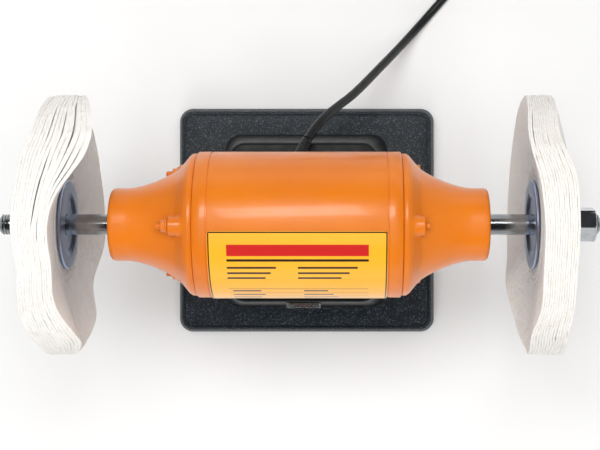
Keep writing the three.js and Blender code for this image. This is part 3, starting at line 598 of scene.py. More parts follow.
def thread_tree():
    """A screw thread's ridge, a three-sided bar wound along the X axis from the origin."""
    tree, given = new_tree("screw_thread", (
        ("Radius", "NodeSocketFloat"), ("Turns", "NodeSocketFloat"), ("Length", "NodeSocketFloat"),
        ("Ridge", "NodeSocketFloat"), ("Left Hand", "NodeSocketBool"), ("Place", "NodeSocketVector"),
        ("Material", "NodeSocketMaterial")))
    helix = add(tree, "GeometryNodeCurveSpiral", {
        "Resolution": 20, "Rotations": given.outputs["Turns"], "Start Radius": given.outputs["Radius"],
        "End Radius": given.outputs["Radius"], "Height": given.outputs["Length"],
        "Reverse": given.outputs["Left Hand"]})
    profile = add(tree, "GeometryNodeCurvePrimitiveCircle", {
        "Resolution": 4, "Radius": given.outputs["Ridge"]})
    ridge = add(tree, "GeometryNodeCurveToMesh", {
        "Curve": helix.outputs[0], "Profile Curve": profile.outputs[0], "Fill Caps": True})
    stood = add(tree, "GeometryNodeTransform", {
        "Geometry": ridge.outputs[0], "Rotation": (0, math.pi / 2, 0),
        "Translation": given.outputs["Place"]})
    real = add(tree, "GeometryNodeRealizeInstances", {"Geometry": stood.outputs[0]})
    painted = add(tree, "GeometryNodeSetMaterial", {
        "Geometry": real.outputs[0], "Material": given.outputs["Material"]})
    add(tree, "NodeGroupOutput", {0: painted.outputs[0]})
    return tree


stitch_rule = stitch_tree()
thread_rule = thread_tree()
print("trees:", stitch_rule.name, thread_rule.name)

# %% [markdown]
# ## The base plate
# The base is a grey-iron casting with a drafted skirt all round and a flat pad on top. The skirt's
# upper edge is a smooth rounded lip, and a shallow groove parts it from the crinkled top. Rings of
# rounded rectangles, one for each change of height, give the outside, and the same rings smaller
# give the hollow underneath. A box with a bevel would have neither the draft nor the groove.

# %% The base plate
base_low, base_high = box_mm("base_plate")
HALF_WIDTH = (base_high[0] - base_low[0]) / 2
HALF_DEPTH = (base_high[1] - base_low[1]) / 2
BASE_TOP = base_high[2]
BASE_BOTTOM = base_low[2]
BASE_CORNER = 12.0
BASE_DRAFT = 4.0

# (how far in from the bottom edge, height): the outside upwards, then the hollow downwards
base_levels = [
    (0.7, BASE_BOTTOM), (0, BASE_BOTTOM + 0.8), (BASE_DRAFT - 1.4, BASE_TOP - 3.2),
    (BASE_DRAFT - 1.0, BASE_TOP - 1.7), (BASE_DRAFT - 0.1, BASE_TOP - 0.6),
    (BASE_DRAFT + 1.0, BASE_TOP - 0.25), (BASE_DRAFT + 1.7, BASE_TOP - 0.35),
    (BASE_DRAFT + 2.0, BASE_TOP - 1.2), (BASE_DRAFT + 2.6, BASE_TOP - 1.2),
    (BASE_DRAFT + 2.9, BASE_TOP - 0.3), (BASE_DRAFT + 3.6, BASE_TOP), (BASE_DRAFT + 12, BASE_TOP),
    (60, BASE_TOP),
]
base_hollow = [(60, BASE_TOP - 6), (9, BASE_TOP - 6), (7.6, BASE_TOP - 7.4), (7, BASE_BOTTOM)]


def level_rings(levels, half_width, half_depth, corner):
    return [
        rounded_rectangle(half_width - inset, half_depth - inset, max(corner - 0.6 * inset, 2.0), z)
        for inset, z in levels
    ]


base_shape = skin(level_rings(base_levels + base_hollow, HALF_WIDTH, HALF_DEPTH, BASE_CORNER), closed=True)


def upright_disc(x, y, outline, segments=32):
    """A lathe about an upright axis; the outline is (radius, height) pairs."""
    angles = np.linspace(0, 2 * math.pi, segments, endpoint=False)
    rings = [[(x + r * math.cos(a), y + r * math.sin(a), z) for a in angles] for r, z in outline]
    return skin(rings)


# the middle of the top is a plate of its own inside the ring of the 60 mm level
core_w, core_d = HALF_WIDTH - 58, HALF_DEPTH - 58
core_rings = [
    rounded_rectangle(core_w, core_d, 3, BASE_TOP - 5.9),
    rounded_rectangle(core_w, core_d, 3, BASE_TOP - 0.1)]
core_plate = merged(skin(core_rings))
core_plate = (core_plate[0], core_plate[1] + [
    tuple(range(len(core_rings[0]))), tuple(range(len(core_rings[0]), 2 * len(core_rings[0])))])

FEET = [(name, (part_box(f"rubber_foot_{name}")[0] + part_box(f"rubber_foot_{name}")[1]) / 2 / MM)
        for name in ("front_left", "front_right", "rear_left", "rear_right")]
foot_bosses = [
    upright_disc(at[0], at[1], [(0, BASE_TOP - 5), (16, BASE_TOP - 5), (16, BASE_BOTTOM + 0.6),
                                (15.4, BASE_BOTTOM), (0, BASE_BOTTOM)]) for _, at in FEET]
base = piece("base_casting", merged(base_shape, core_plate, *foot_bosses), crinkle, "motor_frame",
             "base_crinkle_paint", ["base_plate"], sharp=40)
print("base plate", round(2 * HALF_WIDTH), "by", round(2 * HALF_DEPTH), "mm,",
      len(base.data.polygons), "faces")

# %% [markdown]
# ## The rubber feet
# Four moulded rubber feet carry the machine's weight. Each is a short cone with a rounded rim, a
# recess for its screw and two moulded rings round its side, which keep it from slipping out of a
# hand while it is screwed on. A lathe about an upright axis makes it.

# %% The rubber feet
FOOT_OUTLINE = soften([
    (6, 2.7), (6, 0), (13, 0), (14, 1.2), (13.6, 2.6), (13.1, 2.9), (13.4, 3.4), (13.2, 4.6), (12.7, 4.9),
    (13, 5.4), (12.4, 7.4), (2.8, 7.4), (2.8, 2.7)], 0.35, 2, closed=True)
for name, at in FEET:
    angles = np.linspace(0, 2 * math.pi, 40, endpoint=False)
    rings = [[(at[0] + r * math.cos(a), at[1] + r * math.sin(a), z) for a in angles] for r, z in FOOT_OUTLINE]
    piece(f"foot_{name}", skin(rings, closed=True), foot_rubber, "motor_frame", "foot_rubber",
          [f"rubber_foot_{name}"])
print("feet at", [tuple(np.round(at[:2])) for _, at in FEET])

# %% [markdown]
# ## The pedestal and the saddle
# The pedestal is a hollow pressed box that narrows upwards, with generously rounded corners. The
# saddle stands on it and holds the motor in a cradle cut to the tube's own radius. The window for
# the switch and the cradle are cut with exact Booleans, as a punch and a boring bar would cut them.

# %% The pedestal
pedestal_low, pedestal_high = box_mm("pedestal")
PED_HALF_WIDTH = (pedestal_high[0] - pedestal_low[0]) / 2
PED_HALF_DEPTH = (pedestal_high[1] - pedestal_low[1]) / 2
PED_BOTTOM, PED_TOP = pedestal_low[2], pedestal_high[2]
PED_TOP_WIDTH, PED_TOP_DEPTH = 62.5, 66.5
PED_CORNER, PED_WALL = 14.0, 5.0
SWITCH_HEIGHT = 92.0


def pedestal_ring(share, z, inset=0.0):
    """A ring of the tapered box: share 0 at its foot, 1 at its top."""
    half_width = PED_HALF_WIDTH + (PED_TOP_WIDTH - PED_HALF_WIDTH) * share - inset
    half_depth = PED_HALF_DEPTH + (PED_TOP_DEPTH - PED_HALF_DEPTH) * share - inset
    return rounded_rectangle(half_width, half_depth, max(PED_CORNER - inset, 1.5), z)


PED_RISE = PED_TOP - PED_BOTTOM
pedestal_rings = [pedestal_ring(0, PED_BOTTOM, 0.6), pedestal_ring(0, PED_BOTTOM + 0.7)]
for rise in (0.25, 0.5, 0.75, 0.93):
    pedestal_rings.append(pedestal_ring(rise, PED_BOTTOM + rise * PED_RISE))
for step in range(1, 6):
    turn = math.pi / 2 * step / 5
    edge = 3.0
    drop, inset = edge * (1 - math.sin(turn)), edge * (1 - math.cos(turn))
    pedestal_rings.append(pedestal_ring(1, PED_TOP - drop, inset))
pedestal_rings += [pedestal_ring(1, PED_TOP, 30), pedestal_ring(1, PED_TOP - PED_WALL, 30)]
pedestal_rings += [pedestal_ring(1, PED_TOP - PED_WALL, PED_WALL + 1),
                   pedestal_ring(1, PED_TOP - 7, PED_WALL)]
pedestal_rings += [pedestal_ring(0, PED_BOTTOM, PED_WALL)]
ped_lean = math.atan2(PED_HALF_DEPTH - PED_TOP_DEPTH, PED_RISE)
switch_y = -(PED_HALF_DEPTH - (SWITCH_HEIGHT - PED_BOTTOM) * math.tan(ped_lean))
switch_place = Matrix.Translation((0, switch_y, SWITCH_HEIGHT)) @ Matrix.Rotation(-ped_lean, 4, "X")


def block(x0, x1, y0, y1, z0, z1, round_by=0.0, steps=3):
    """A block whose upright edges and rims are rounded by round_by."""
    half_width, half_depth = (x1 - x0) / 2, (y1 - y0) / 2
    levels = [(round_by * 0.3, z0), (0, z0 + round_by * 0.3), (0, z1 - round_by * 0.3), (round_by * 0.3, z1)]
    if round_by == 0:
        levels = [(0, z0), (0, z1)]
    rings = [rounded_rectangle(half_width - i, half_depth - i, max(round_by - i, 0.01), z, steps)
             for i, z in levels]
    points, faces = skin(rings)
    around = len(rings[0])
    faces += [tuple(range(around)), tuple(range(len(points) - around, len(points)))]
    return points + np.array(((x0 + x1) / 2, (y0 + y1) / 2, 0)), faces


window = moved(block(-11.3, 11.3, -12, 12, -10.3, 10.3), switch_place)
pedestal_shape = skin(pedestal_rings, closed=True)
pedestal = piece("pedestal_box", carved(pedestal_shape, window), satin_black, "motor_frame",
                 "pedestal_paint", ["pedestal"])
PLATE_INSET = 29.0
plate_half = (PED_TOP_WIDTH - PLATE_INSET, PED_TOP_DEPTH - PLATE_INSET)
pedestal_middle = block(-plate_half[0], plate_half[0], -plate_half[1], plate_half[1],
                        PED_TOP - PED_WALL + 0.1, PED_TOP - 0.1, 2)
piece("pedestal_roof_middle", pedestal_middle, satin_black, "motor_frame", "pedestal_paint")
print("pedestal front leans", round(math.degrees(ped_lean), 2), "degrees;",
      len(pedestal.data.polygons), "faces")

# %% The saddle
saddle_low, saddle_high = box_mm("motor_saddle")
TUBE_RADIUS = 56.0
CLEARANCE = 0.3
s_w, s_d = saddle_high[0], saddle_high[1]
saddle_rings = [rounded_rectangle(s_w - i, s_d - i, 8 - i, z) for i, z in (
    (0.5, saddle_low[2]), (0, saddle_low[2] + 0.6), (0, saddle_high[2] - 1.5), (0.5, saddle_high[2] - 0.4),
    (1.5, saddle_high[2]))]
points, faces = skin(saddle_rings)
ring_size = len(saddle_rings[0])
saddle_shape = (points, faces + [tuple(range(ring_size)), tuple(range(len(points) - ring_size, len(points)))])
cradle = turned_about_x([(-90, 0), (-90, TUBE_RADIUS + CLEARANCE), (90, TUBE_RADIUS + CLEARANCE), (90, 0)],
                        160, closed=False)
room = block(-s_w + 6, s_w - 6, -s_d + 6, s_d - 6, saddle_low[2] - 1, AXIS_Z - TUBE_RADIUS - 7, 3)
saddle = piece("motor_cradle", carved(saddle_shape, cradle, room), satin_black, "motor_frame",
               "pedestal_paint", ["motor_saddle"])
print("saddle", len(saddle.data.polygons), "faces")

# %% [markdown]
# ## The motor tube
# The stator is pressed into a rolled steel tube. A fine seam near each end marks where the tube was
# shouldered for its end bell. A lathe outline with its corners softened gives the seams, the rims
# and the bore in one closed skin.

# %% The motor tube
TUBE_HALF = box_mm("stator_housing")[1][0]
SEAM = 66.8
SEAM_DEPTH = 0.7
outside = [(-TUBE_HALF, 52), (-TUBE_HALF, TUBE_RADIUS - 0.7), (-TUBE_HALF + 0.7, TUBE_RADIUS)]
for at in (-SEAM, SEAM):
    outside += [(at - 1.1, TUBE_RADIUS), (at - 0.45, TUBE_RADIUS - 0.15),
                (at - 0.3, TUBE_RADIUS - SEAM_DEPTH), (at + 0.3, TUBE_RADIUS - SEAM_DEPTH),
                (at + 0.45, TUBE_RADIUS - 0.15), (at + 1.1, TUBE_RADIUS)]
outside += [(TUBE_HALF - 0.7, TUBE_RADIUS), (TUBE_HALF, TUBE_RADIUS - 0.7), (TUBE_HALF, 52)]
tube = piece("motor_tube", turned_about_x(outside, 192), orange, "motor_frame", "orange_paint",
             ["stator_housing"], sharp=50)
print("tube", round(2 * TUBE_HALF, 1), "mm long,", len(tube.data.polygons), "faces")

# %% [markdown]
# ## The end bells
# Each bell is a trumpet-shaped casting: a short flange against the tube, a hollow curve down to a
# neck round the bearing, and three bosses for the tie rods that run out of the curve. One height
# field makes all of it: at each place along the axis and each angle round it, the surface is the
# larger of the trumpet's radius and the boss's own. That gives bosses that grow out of the casting,
# with no seam where two solids would meet.

# %% The end bells
BOSS_RADIUS = 7.5
ROD_PITCH = 45.0
ROD_COUNT = 3
ROD_ANGLES = [2 * math.pi * i / ROD_COUNT for i in range(ROD_COUNT)]
NECK = 28.0
NECK_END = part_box("end_bell_right")[1][0] / MM
BOSS_END = {-1: 95.5, 1: 93.7}
BOSS_EDGE = 1.2
FLANGE_START = TUBE_HALF + CLEARANCE


def bezier(points, steps):
    """A cubic curve through four control points."""
    a, b, c, d = (np.array(p, float) for p in points)
    shares = np.linspace(0, 1, steps)
    return [tuple((1 - t) ** 3 * a + 3 * t * (1 - t) ** 2 * b + 3 * t * t * (1 - t) * c + t ** 3 * d)
            for t in shares]


def bell_outline():
    """(x, radius) of the outside from the flange's inner rim to the neck's end."""
    curve_points = bezier(((91, 44), (97, 38.5), (117, 29), (131, NECK)), 22)
    slope = [(82.2 + 8.8 * t, 54.5 - 10.5 * t) for t in (0.12, 0.3, 0.5, 0.7, 0.88)]
    flange = [(FLANGE_START, 53.9), (FLANGE_START + 0.6, 54.5), (81.2, 54.5), (81.9, 54.2), (82.4, 53.6)]
    end = [(NECK_END - 4, NECK), (NECK_END - 2.6, NECK - 0.15), (NECK_END - 1.2, NECK - 0.7),
           (NECK_END - 0.35, NECK - 1.6), (NECK_END, NECK - 2.9), (NECK_END, 14.2), (NECK_END - 0.6, 13.4)]
    return flange + slope + curve_points + end


def boss_reach(angle, radius):
    """How far out a boss of that radius reaches at an angle; 0 where it doesn't."""
    best = 0.0
    for rod in ROD_ANGLES:
        away = math.remainder(angle - rod, 2 * math.pi)
        side = ROD_PITCH * math.sin(away)
        if abs(away) < math.pi / 2 and abs(side) < radius:
            best = max(best, ROD_PITCH * math.cos(away) + math.sqrt(radius ** 2 - side ** 2))
    return best


def bell_angles():
    """Angles from the top towards the front, closer together round each boss."""
    angles = set(np.round(np.linspace(0, 2 * math.pi, 132, endpoint=False), 5))
    for rod in ROD_ANGLES:
        for degrees in (1.5, 3, 5, 6.5, 7.5, 8.3, 8.9, 9.3, 9.7, 10.3, 11.3):
            for sign in (-1, 1):
                angles.add(round((rod + sign * math.radians(degrees)) % (2 * math.pi), 5))
    return sorted(angles)


def bell_shape(side):
    angles = bell_angles()
    boss_end = BOSS_END[side]
    outline = bell_outline()
    edge_rows = [boss_end - BOSS_EDGE * t for t in (1.0, 0.7, 0.4, 0.15, 0.0)]
    trumpet = sorted(outline[:-7], key=lambda p: p[0])
    along, radii = zip(*trumpet)
    rows = sorted([(x, r) for x, r in outline[:-2]]
                  + [(x, float(np.interp(x, along, radii))) for x in edge_rows]
                  + [(boss_end + 0.05, float(np.interp(boss_end + 0.05, along, radii)))])
    rows += outline[-2:]
    inside = [(134.5, 13.4), (134.5, 20.3), (122, 20.3), (100, 32), (86, 46.8), (72.4, 47.2), (72.4, 51.6),
              (FLANGE_START, 51.6)]
    rings = []
    for index, (x, base_radius) in enumerate(rows + inside):
        ring = []
        outer = index < len(rows) - 2
        inset = 0.0
        if x > boss_end - BOSS_EDGE:
            into = min((x - boss_end + BOSS_EDGE) / BOSS_EDGE, 1)
            inset = BOSS_EDGE * (1 - math.sqrt(max(1 - into * into, 0)))
        for angle in angles:
            reach = base_radius
            if outer and x <= boss_end:
                boss = boss_reach(angle, BOSS_RADIUS - inset)
                gap = boss - base_radius
                if gap > -3 and x > 82.3:
                    # a small fillet where the boss leaves the trumpet
                    reach = base_radius + 0.5 * (gap + math.sqrt(gap * gap + 1.2))
                    reach = max(reach, base_radius) if boss > 0 else base_radius
            ring.append((side * x, -reach * math.sin(angle), AXIS_Z + reach * math.cos(angle)))
        rings.append(ring)
    return skin(rings, closed=True)


for name, side in SIDES:
    bell = piece(f"bell_{name}", bell_shape(side), orange, "motor_frame", "orange_paint",
                 [f"end_bell_{name}"], sharp=50)
    print("bell", name, len(bell.data.polygons), "faces")

# %% [markdown]
# ## The tie rods and their nuts
# Three long studs clamp the bells against the tube. On the left each carries a flange nut on a spot
# face, and on the right it is screwed into the casting and shows a turn or two of thread. They were
# painted with the motor, so the thread is softened by paint. The rod is a lathe, the nut is a height
# field with six flats, and the thread comes from its tree.

# %% The tie rods and their nuts


def hex_nut(inboard, outboard, across, bore, chamfer, side=1, flats=6, height=0.0):
    """A chamfered nut about the X axis; outboard is the chamfered end."""
    angles = np.linspace(0, 2 * math.pi, flats * 12, endpoint=False)
    corner = across / 2 / math.cos(math.pi / flats)
    span = outboard - inboard
    rings = []
    limits = [(0.0, corner - 0.3), (0.06, corner + 1), (0.5, corner + 1),
              (1 - chamfer * 0.577 / span, corner + 0.05),
              (1 - chamfer * 0.3 / span, corner - chamfer * 0.47), (1.0, corner - chamfer)]
    for share, limit in limits:
        ring = []
        for angle in angles:
            across_here = math.remainder(angle, 2 * math.pi / flats)
            reach = min(across / 2 / math.cos(across_here), limit)
            along = side * (inboard + span * share)
            ring.append((along, reach * math.sin(angle), reach * math.cos(angle) + height))
        rings.append(ring)
    for share, radius in ((1.0, bore + 0.8), (1 - 0.8 / span, bore), (0.8 / span, bore), (0.0, bore + 0.8)):
        rings.append([(side * (inboard + span * share), radius * math.sin(a), radius * math.cos(a) + height)
                      for a in angles])
    return skin(rings, closed=True)


def about_shaft(angle):
    """Turns a shape made about the origin's X axis round the shaft, and lifts it to the shaft."""
    return Matrix.Translation((0, 0, AXIS_Z)) @ Matrix.Rotation(angle, 4, "X")


ROD_LEFT, ROD_RIGHT, ROD_RADIUS = 105.8, 97.7, 2.5
rod_outline = [
    (-ROD_LEFT, 0), (-ROD_LEFT, 1.7), (-ROD_LEFT + 0.7, 2.2), (-92, 2.2), (-90, ROD_RADIUS), (86, ROD_RADIUS),
    (88, 2.2), (ROD_RIGHT - 0.8, 2.2), (ROD_RIGHT, 1.6), (ROD_RIGHT, 0)]
nut_flange = soften([(95.8, 2.9), (95.8, 5.8), (96.2, 6.0), (96.9, 5.9), (97.4, 4.6), (97.4, 2.9)],
                    0.25, 2, closed=True)
for index, angle in enumerate(ROD_ANGLES, 1):
    lift = Matrix.Translation((0, 0, ROD_PITCH))
    rod = moved(turned_about_x(rod_outline, 28, 0.0, closed=False), about_shaft(angle) @ lift)
    ridges = []
    for start, length, left_hand in ((-ROD_LEFT + 0.8, 6.0, False), (ROD_RIGHT - 3.8, 3.2, False)):
        ridge = grown(thread_rule, "thread", Radius=2.2 * MM, Turns=length / 0.9, Length=length * MM,
                      Ridge=0.3 * MM, Left_Hand=left_hand, Place=(start * MM, 0, 0), Material=orange)
        points = np.array([v.co for v in ridge.vertices]) / MM
        ridges.append(moved((points, [tuple(p.vertices) for p in ridge.polygons]), about_shaft(angle) @ lift))
    piece(f"tie_stud_{index}", merged(rod, *ridges), orange, "motor_frame", "orange_paint",
          [f"tie_rod_{index}"])
    nut_parts = [moved(hex_nut(97.2, 101, 8, 2.7, 0.8, side=-1), about_shaft(angle) @ lift),
                 moved(turned_about_x([(-x, r) for x, r in nut_flange], 36, 0.0), about_shaft(angle) @ lift)]
    piece(f"tie_nut_{index}", merged(*nut_parts), orange, "motor_frame", "orange_paint",
          [f"tie_rod_nut_{index}"])
print("tie rods at", [round(math.degrees(a)) for a in ROD_ANGLES], "degrees from the top")

# %% [markdown]
# ## The nameplate
# A thin printed foil wraps the front of the tube: warm yellow with a dark border line. The real
# print names its maker; here a plain band and a table of bars stand in for all of it. The foil is
# a curved sheet with its own UV map in millimetres, so the print follows the surface round the tube.

# %% The nameplate
PLATE_HALF = box_mm("nameplate")[1][0]
PLATE_FROM, PLATE_TO = math.radians(3.6), math.radians(104)
PLATE_INNER = TUBE_RADIUS + CLEARANCE
PLATE_OUTER = PLATE_INNER + 0.4
PLATE_ARC = PLATE_OUTER * (PLATE_TO - PLATE_FROM)
PLATE_CORNER = 2.0


def plate_shape():
    """A closed thin sheet, round at its corners: an outline on the cylinder, filled in strips."""
    columns = np.array(sorted({-1.0, 1.0, *np.linspace(-1, 1, 25)})) * PLATE_HALF
    rows = np.linspace(0, 1, 49)
    layers = []
    for radius in (PLATE_OUTER, PLATE_INNER):
        for row in rows:
            angle = PLATE_FROM + (PLATE_TO - PLATE_FROM) * row
            edge = min(row, 1 - row) * PLATE_ARC
            trim = PLATE_CORNER - math.sqrt(max(PLATE_CORNER ** 2 - max(PLATE_CORNER - edge, 0) ** 2, 0))
            width = (PLATE_HALF - trim) / PLATE_HALF
            across_arc, height = -radius * math.sin(angle), AXIS_Z + radius * math.cos(angle)
            layers.append([(x * width, across_arc, height) for x in columns])
    points = np.array(layers).reshape(-1, 3)
    across, down = len(columns), len(rows)
    faces = []
    for layer in (0, 1):
        for i in range(down - 1):
            for j in range(across - 1):
                a = layer * down * across + i * across + j
                faces.append((a, a + 1, a + 1 + across, a + across))
    rim = [j for j in range(across)] + [i * across + across - 1 for i in range(1, down)]
    rim += [(down - 1) * across + j for j in range(across - 2, -1, -1)]
    rim += [i * across for i in range(down - 2, 0, -1)]
    lower = down * across
    for a, b in zip(rim, rim[1:] + rim[:1]):
        faces.append((a, b, b + lower, a + lower))
    return points, faces


def printed_foil():
    """Yellow vinyl print; u and v are millimetres from the plate's upper left corner."""
    material, tree, shader, place = finish("printed_yellow_vinyl", Roughness=0.28, Coat_Weight=0.4,
                                           Coat_Roughness=0.1)
    uv = add(tree, "ShaderNodeUVMap", uv_map="print").outputs[0]
    apart = add(tree, "ShaderNodeSeparateXYZ", {0: uv})
    u, v = apart.outputs[0], apart.outputs[1]

    def inside(value, low, high, edge=0.18):
        """1 where value is between low and high, with a soft edge; all in millimetres."""
        rise = add(tree, "ShaderNodeMapRange", {
            "Value": value, "From Min": low - edge, "From Max": low + edge}).outputs[0]
        fall = add(tree, "ShaderNodeMapRange", {
            "Value": value, "From Min": high - edge, "From Max": high + edge,
            "To Min": 1.0, "To Max": 0.0}).outputs[0]
        return add(tree, "ShaderNodeMath", {0: rise, 1: fall}, operation="MULTIPLY").outputs[0]

    def rectangle(left, right, top, bottom):
        sides = {0: inside(u, left, right), 1: inside(v, top, bottom)}
        return add(tree, "ShaderNodeMath", sides, operation="MULTIPLY").outputs[0]

    def over(colour, share, ink):
        return blend_colours(tree, share, colour, ink)

    colour = blend_colours(tree, mottle(tree, place, 40, 0, 1), "#FDB62A", "#FBB021")
    width, arc = 2 * PLATE_HALF, PLATE_ARC
    border = add(tree, "ShaderNodeMath", {
        0: rectangle(0.4, width - 0.4, 0.4, arc - 0.4), 1: rectangle(1.4, width - 1.4, 1.4, arc - 1.4)},
        operation="SUBTRACT").outputs[0]
    colour = over(colour, border, "#1C120A")
    red, black = "#C8201B", "#22160C"
    # (left, right, top, bottom, ink): a heading band, rules, and a table of plain bars
    bars = [(14, 118, 10, 19, red), (14, 118, 21.5, 23.5, black)]
    for row in range(3):
        top = 28 + 5 * row
        bars += [(14, 50 - 4 * row, top, top + 1.8, black), (66, 110 - 6 * row, top, top + 1.8, black)]
    for row in range(5):
        top = 52 + 7 * row
        bars += [(14, 118, top, top + 0.5, black), (17, 38 + 3 * (row % 2), top + 2.4, top + 4.4, black),
                 (70, 88 + 4 * (row % 3), top + 2.4, top + 4.4, black)]
    for left, right, top, bottom, ink in bars:
        colour = over(colour, rectangle(left, right, top, bottom), ink)
    feed(tree, colour, shader, "Base Color")
    emboss(tree, shader, mottle(tree, place, 6, 0, 1, 1.0), 0.015)
    return material


plate_mesh = mesh_of("printed_plate", plate_shape(), mend=True)
uv_layer = plate_mesh.uv_layers.new(name="print")
for loop in plate_mesh.loops:
    co = plate_mesh.vertices[loop.vertex_index].co / MM
    angle = math.atan2(-co.y, co.z - AXIS_Z)
    uv_layer.data[loop.index].uv = (co.x + PLATE_HALF, (angle - PLATE_FROM) * PLATE_OUTER)
piece("printed_plate", plate_mesh, printed_foil(), "motor_frame", "nameplate_print", ["nameplate"])
print("nameplate", round(2 * PLATE_HALF), "by", round(PLATE_ARC, 1), "mm")

# %% [markdown]
# ## The shaft
# One bar of ground steel runs through the motor, thicker between the bearings. Both ends carry an
# M16 thread, left-handed on the left so that the wheel's drag tightens its nut. The bar is a lathe,
# and the threads are wound by the tree.

# %% The shaft
SHAFT_END = shaft_high[0]
SHAFT_RADIUS = 8.0
THREAD_FROM = 196.0
THREAD_PITCH = 2.0
half_bar = [(125.7, 10.5), (125.7, 8.5), (138, 8.5), (138, SHAFT_RADIUS), (THREAD_FROM, SHAFT_RADIUS),
            (THREAD_FROM + 1, 7.2), (SHAFT_END - 1.4, 7.2), (SHAFT_END, 5.8), (SHAFT_END, 3.4),
            (SHAFT_END - 1.6, 0)]
bar = [(-x, r) for x, r in reversed(half_bar)] + half_bar
shaft_parts = [turned_about_x(bar, 72, closed=False)]
thread_length = SHAFT_END - THREAD_FROM - 2.4
for name, side in SIDES:
    start = THREAD_FROM + 1 if side > 0 else -SHAFT_END + 1.4
    ridge = grown(thread_rule, "thread", Radius=7.2 * MM, Turns=thread_length / THREAD_PITCH,
                  Length=thread_length * MM, Ridge=0.78 * MM, Left_Hand=side < 0,
                  Place=(start * MM, 0, AXIS_Z * MM), Material=steel)
    shaft_parts.append(shape_of(ridge))
bar_piece = piece("ground_shaft", merged(*shaft_parts), steel, "spindle", "polished_steel", ["shaft"])
print("shaft", round(2 * SHAFT_END), "mm long,", len(bar_piece.data.polygons), "faces")

# %% [markdown]
# ## The flanges and the arbor nuts
# Each wheel is clamped between two pressed flanges. A flange's rim is rolled over, its middle is
# dished, and a slot-free bore sits on the shaft. The M16 nuts are chamfered hexagons 24 mm across
# their flats. Outlines with softened corners make the flanges, and the nut's height field is used
# again at its larger size.

# %% The flanges and the arbor nuts
FLANGE_RADIUS = 34.4
inner_outline = soften([
    (177, 24.5), (176.9, 33.2), (177.5, FLANGE_RADIUS), (179.3, FLANGE_RADIUS), (179.7, 33), (179.7, 25),
    (181.7, 21), (181.7, 8.3), (179, 8.3), (179, 20)], 0.9, 3, closed=True)
# from the hub's outer face: the rim, a pressed ring, and the collar under the nut
outer_outline = soften([
    (0.3, 8.3), (0.3, 33.6), (0.8, FLANGE_RADIUS), (2.4, FLANGE_RADIUS), (3, 33.4), (3, 24),
    (1.9, 22), (1.9, 17), (3.2, 15), (7.2, 14), (7.2, 8.3)], 0.7, 3, closed=True)
NUT_ACROSS, NUT_TURN = 24.0, -21.0
hub_out, nut_ends = {}, {}
for name, side in SIDES:
    hub_out[name] = abs(box_mm(f"outer_flange_{name}")[0 if side > 0 else 1][0]) - CLEARANCE
    nut_ends[name] = sorted(abs(corner[0]) for corner in box_mm(f"arbor_nut_{name}"))
for name, side in SIDES:
    outlines = {"inner": inner_outline, "outer": [(x + hub_out[name], r) for x, r in outer_outline]}
    for kind, outline in outlines.items():
        shape = turned_about_x([(side * x, r) for x, r in outline], 112)
        piece(f"{kind}_clamp_{name}", shape, zinc, "spindle", "zinc_plate", [f"{kind}_flange_{name}"])
    upright_nut = hex_nut(*nut_ends[name], NUT_ACROSS, 8.2, 2.2, side=side)
    nut_shape = moved(upright_nut, about_shaft(math.radians(NUT_TURN)))
    piece(f"hex_nut_{name}", nut_shape, chrome, "spindle", "nut_chrome", [f"arbor_nut_{name}"])
print("flanges of radius", FLANGE_RADIUS, "mm")

# %% [markdown]
# ## The cotton wheels
# A buff is a stack of round cotton plies, sewn together in circles near the middle and free outside
# them. In use the free part spreads and leans, and the plies part in places, which leaves dark slits
# between them. So each ply is made as its own closed sheet: flat where it is clamped and sewn, then
# curving out to its place in the rim's band. A table gives the band's two edges round the wheel and
# the width of each slit, and the plies fluff up to fill the rest, the inboard ones most. A solid disc
# with a bump would show neither the slits nor the frayed rim.

# %% The wheel's plies
WHEEL_RADIUS = 100.0
WHEEL_BORE = 8.3
HUB_IN = 180.3
HUB_RADIUS = 37.0
PLY_COUNT = 14
PLY_THICKNESS = 1.85
AROUND = 180
PLY_RADII = [WHEEL_BORE, 24, HUB_RADIUS, 46, 54, 62, 70, 78, 85, 91, 95.5, 98.2]

# rim bands: degrees from the top towards the rear, inboard and outboard distance along the axis
BANDS = {
    "left": [
        (0, 173, 198.5), (14, 167.5, 196.6), (21.5, 157, 195), (30.5, 147.5, 194.5), (42.5, 145, 190),
        (60, 151, 188.3), (85, 163, 188.5), (124, 172, 194), (160, 169.6, 197), (190, 166.8, 197),
        (210, 177, 199), (230, 167.6, 196), (275, 173, 188.5), (300, 156, 190.6), (308, 160, 194.7),
        (321, 167.5, 197.3), (329, 172, 196.8), (343, 169.4, 193.8),
    ],
    "right": [
        (0, 173.8, 198), (22, 171.4, 198), (29, 167.2, 193.2), (41, 164.7, 187.5), (62, 168.4, 189.6),
        (90, 173, 192.3), (140, 173, 197), (200, 171, 197), (209, 167.7, 196), (232, 172.5, 198),
        (260, 176, 200), (270, 174.6, 200), (308, 168.7, 196.8), (323, 174.1, 197.4), (340, 173.3, 197),
    ],
}
# slits: after which ply from inboard, from and to which angle, and how wide in millimetres
SLITS = {
    "left": [(1, 12, 40, 0.5), (2, 14, 36, 0.7), (3, 28, 72, 1.3), (5, 36, 60, 0.6), (6, -4, 37, 0.9),
             (8, 34, 63, 0.6), (4, -7, 5, 0.4), (9, 311, 323, 0.4), (4, 313, 324, 0.4)],
    "right": [(2, 34, 62, 0.5), (9, 300, 314, 0.3)],
}


def around_the_rim(table, column, angles):
    """A band's edge at every angle: the table joined by lines, then rounded off over 20 degrees."""
    at = np.array([table[-1][0] - 360.0] + [row[0] for row in table] + [table[0][0] + 360.0])
    value = np.array([table[-1][column]] + [row[column] for row in table] + [table[0][column]])
    straight = np.interp(np.degrees(angles) % 360, at, value)
    reach = round(10 * len(angles) / 360)
    weights = np.hanning(2 * reach + 3)[1:-1]
    rounded = sum(w * np.roll(straight, k - reach) for k, w in enumerate(weights))
    return rounded / weights.sum()


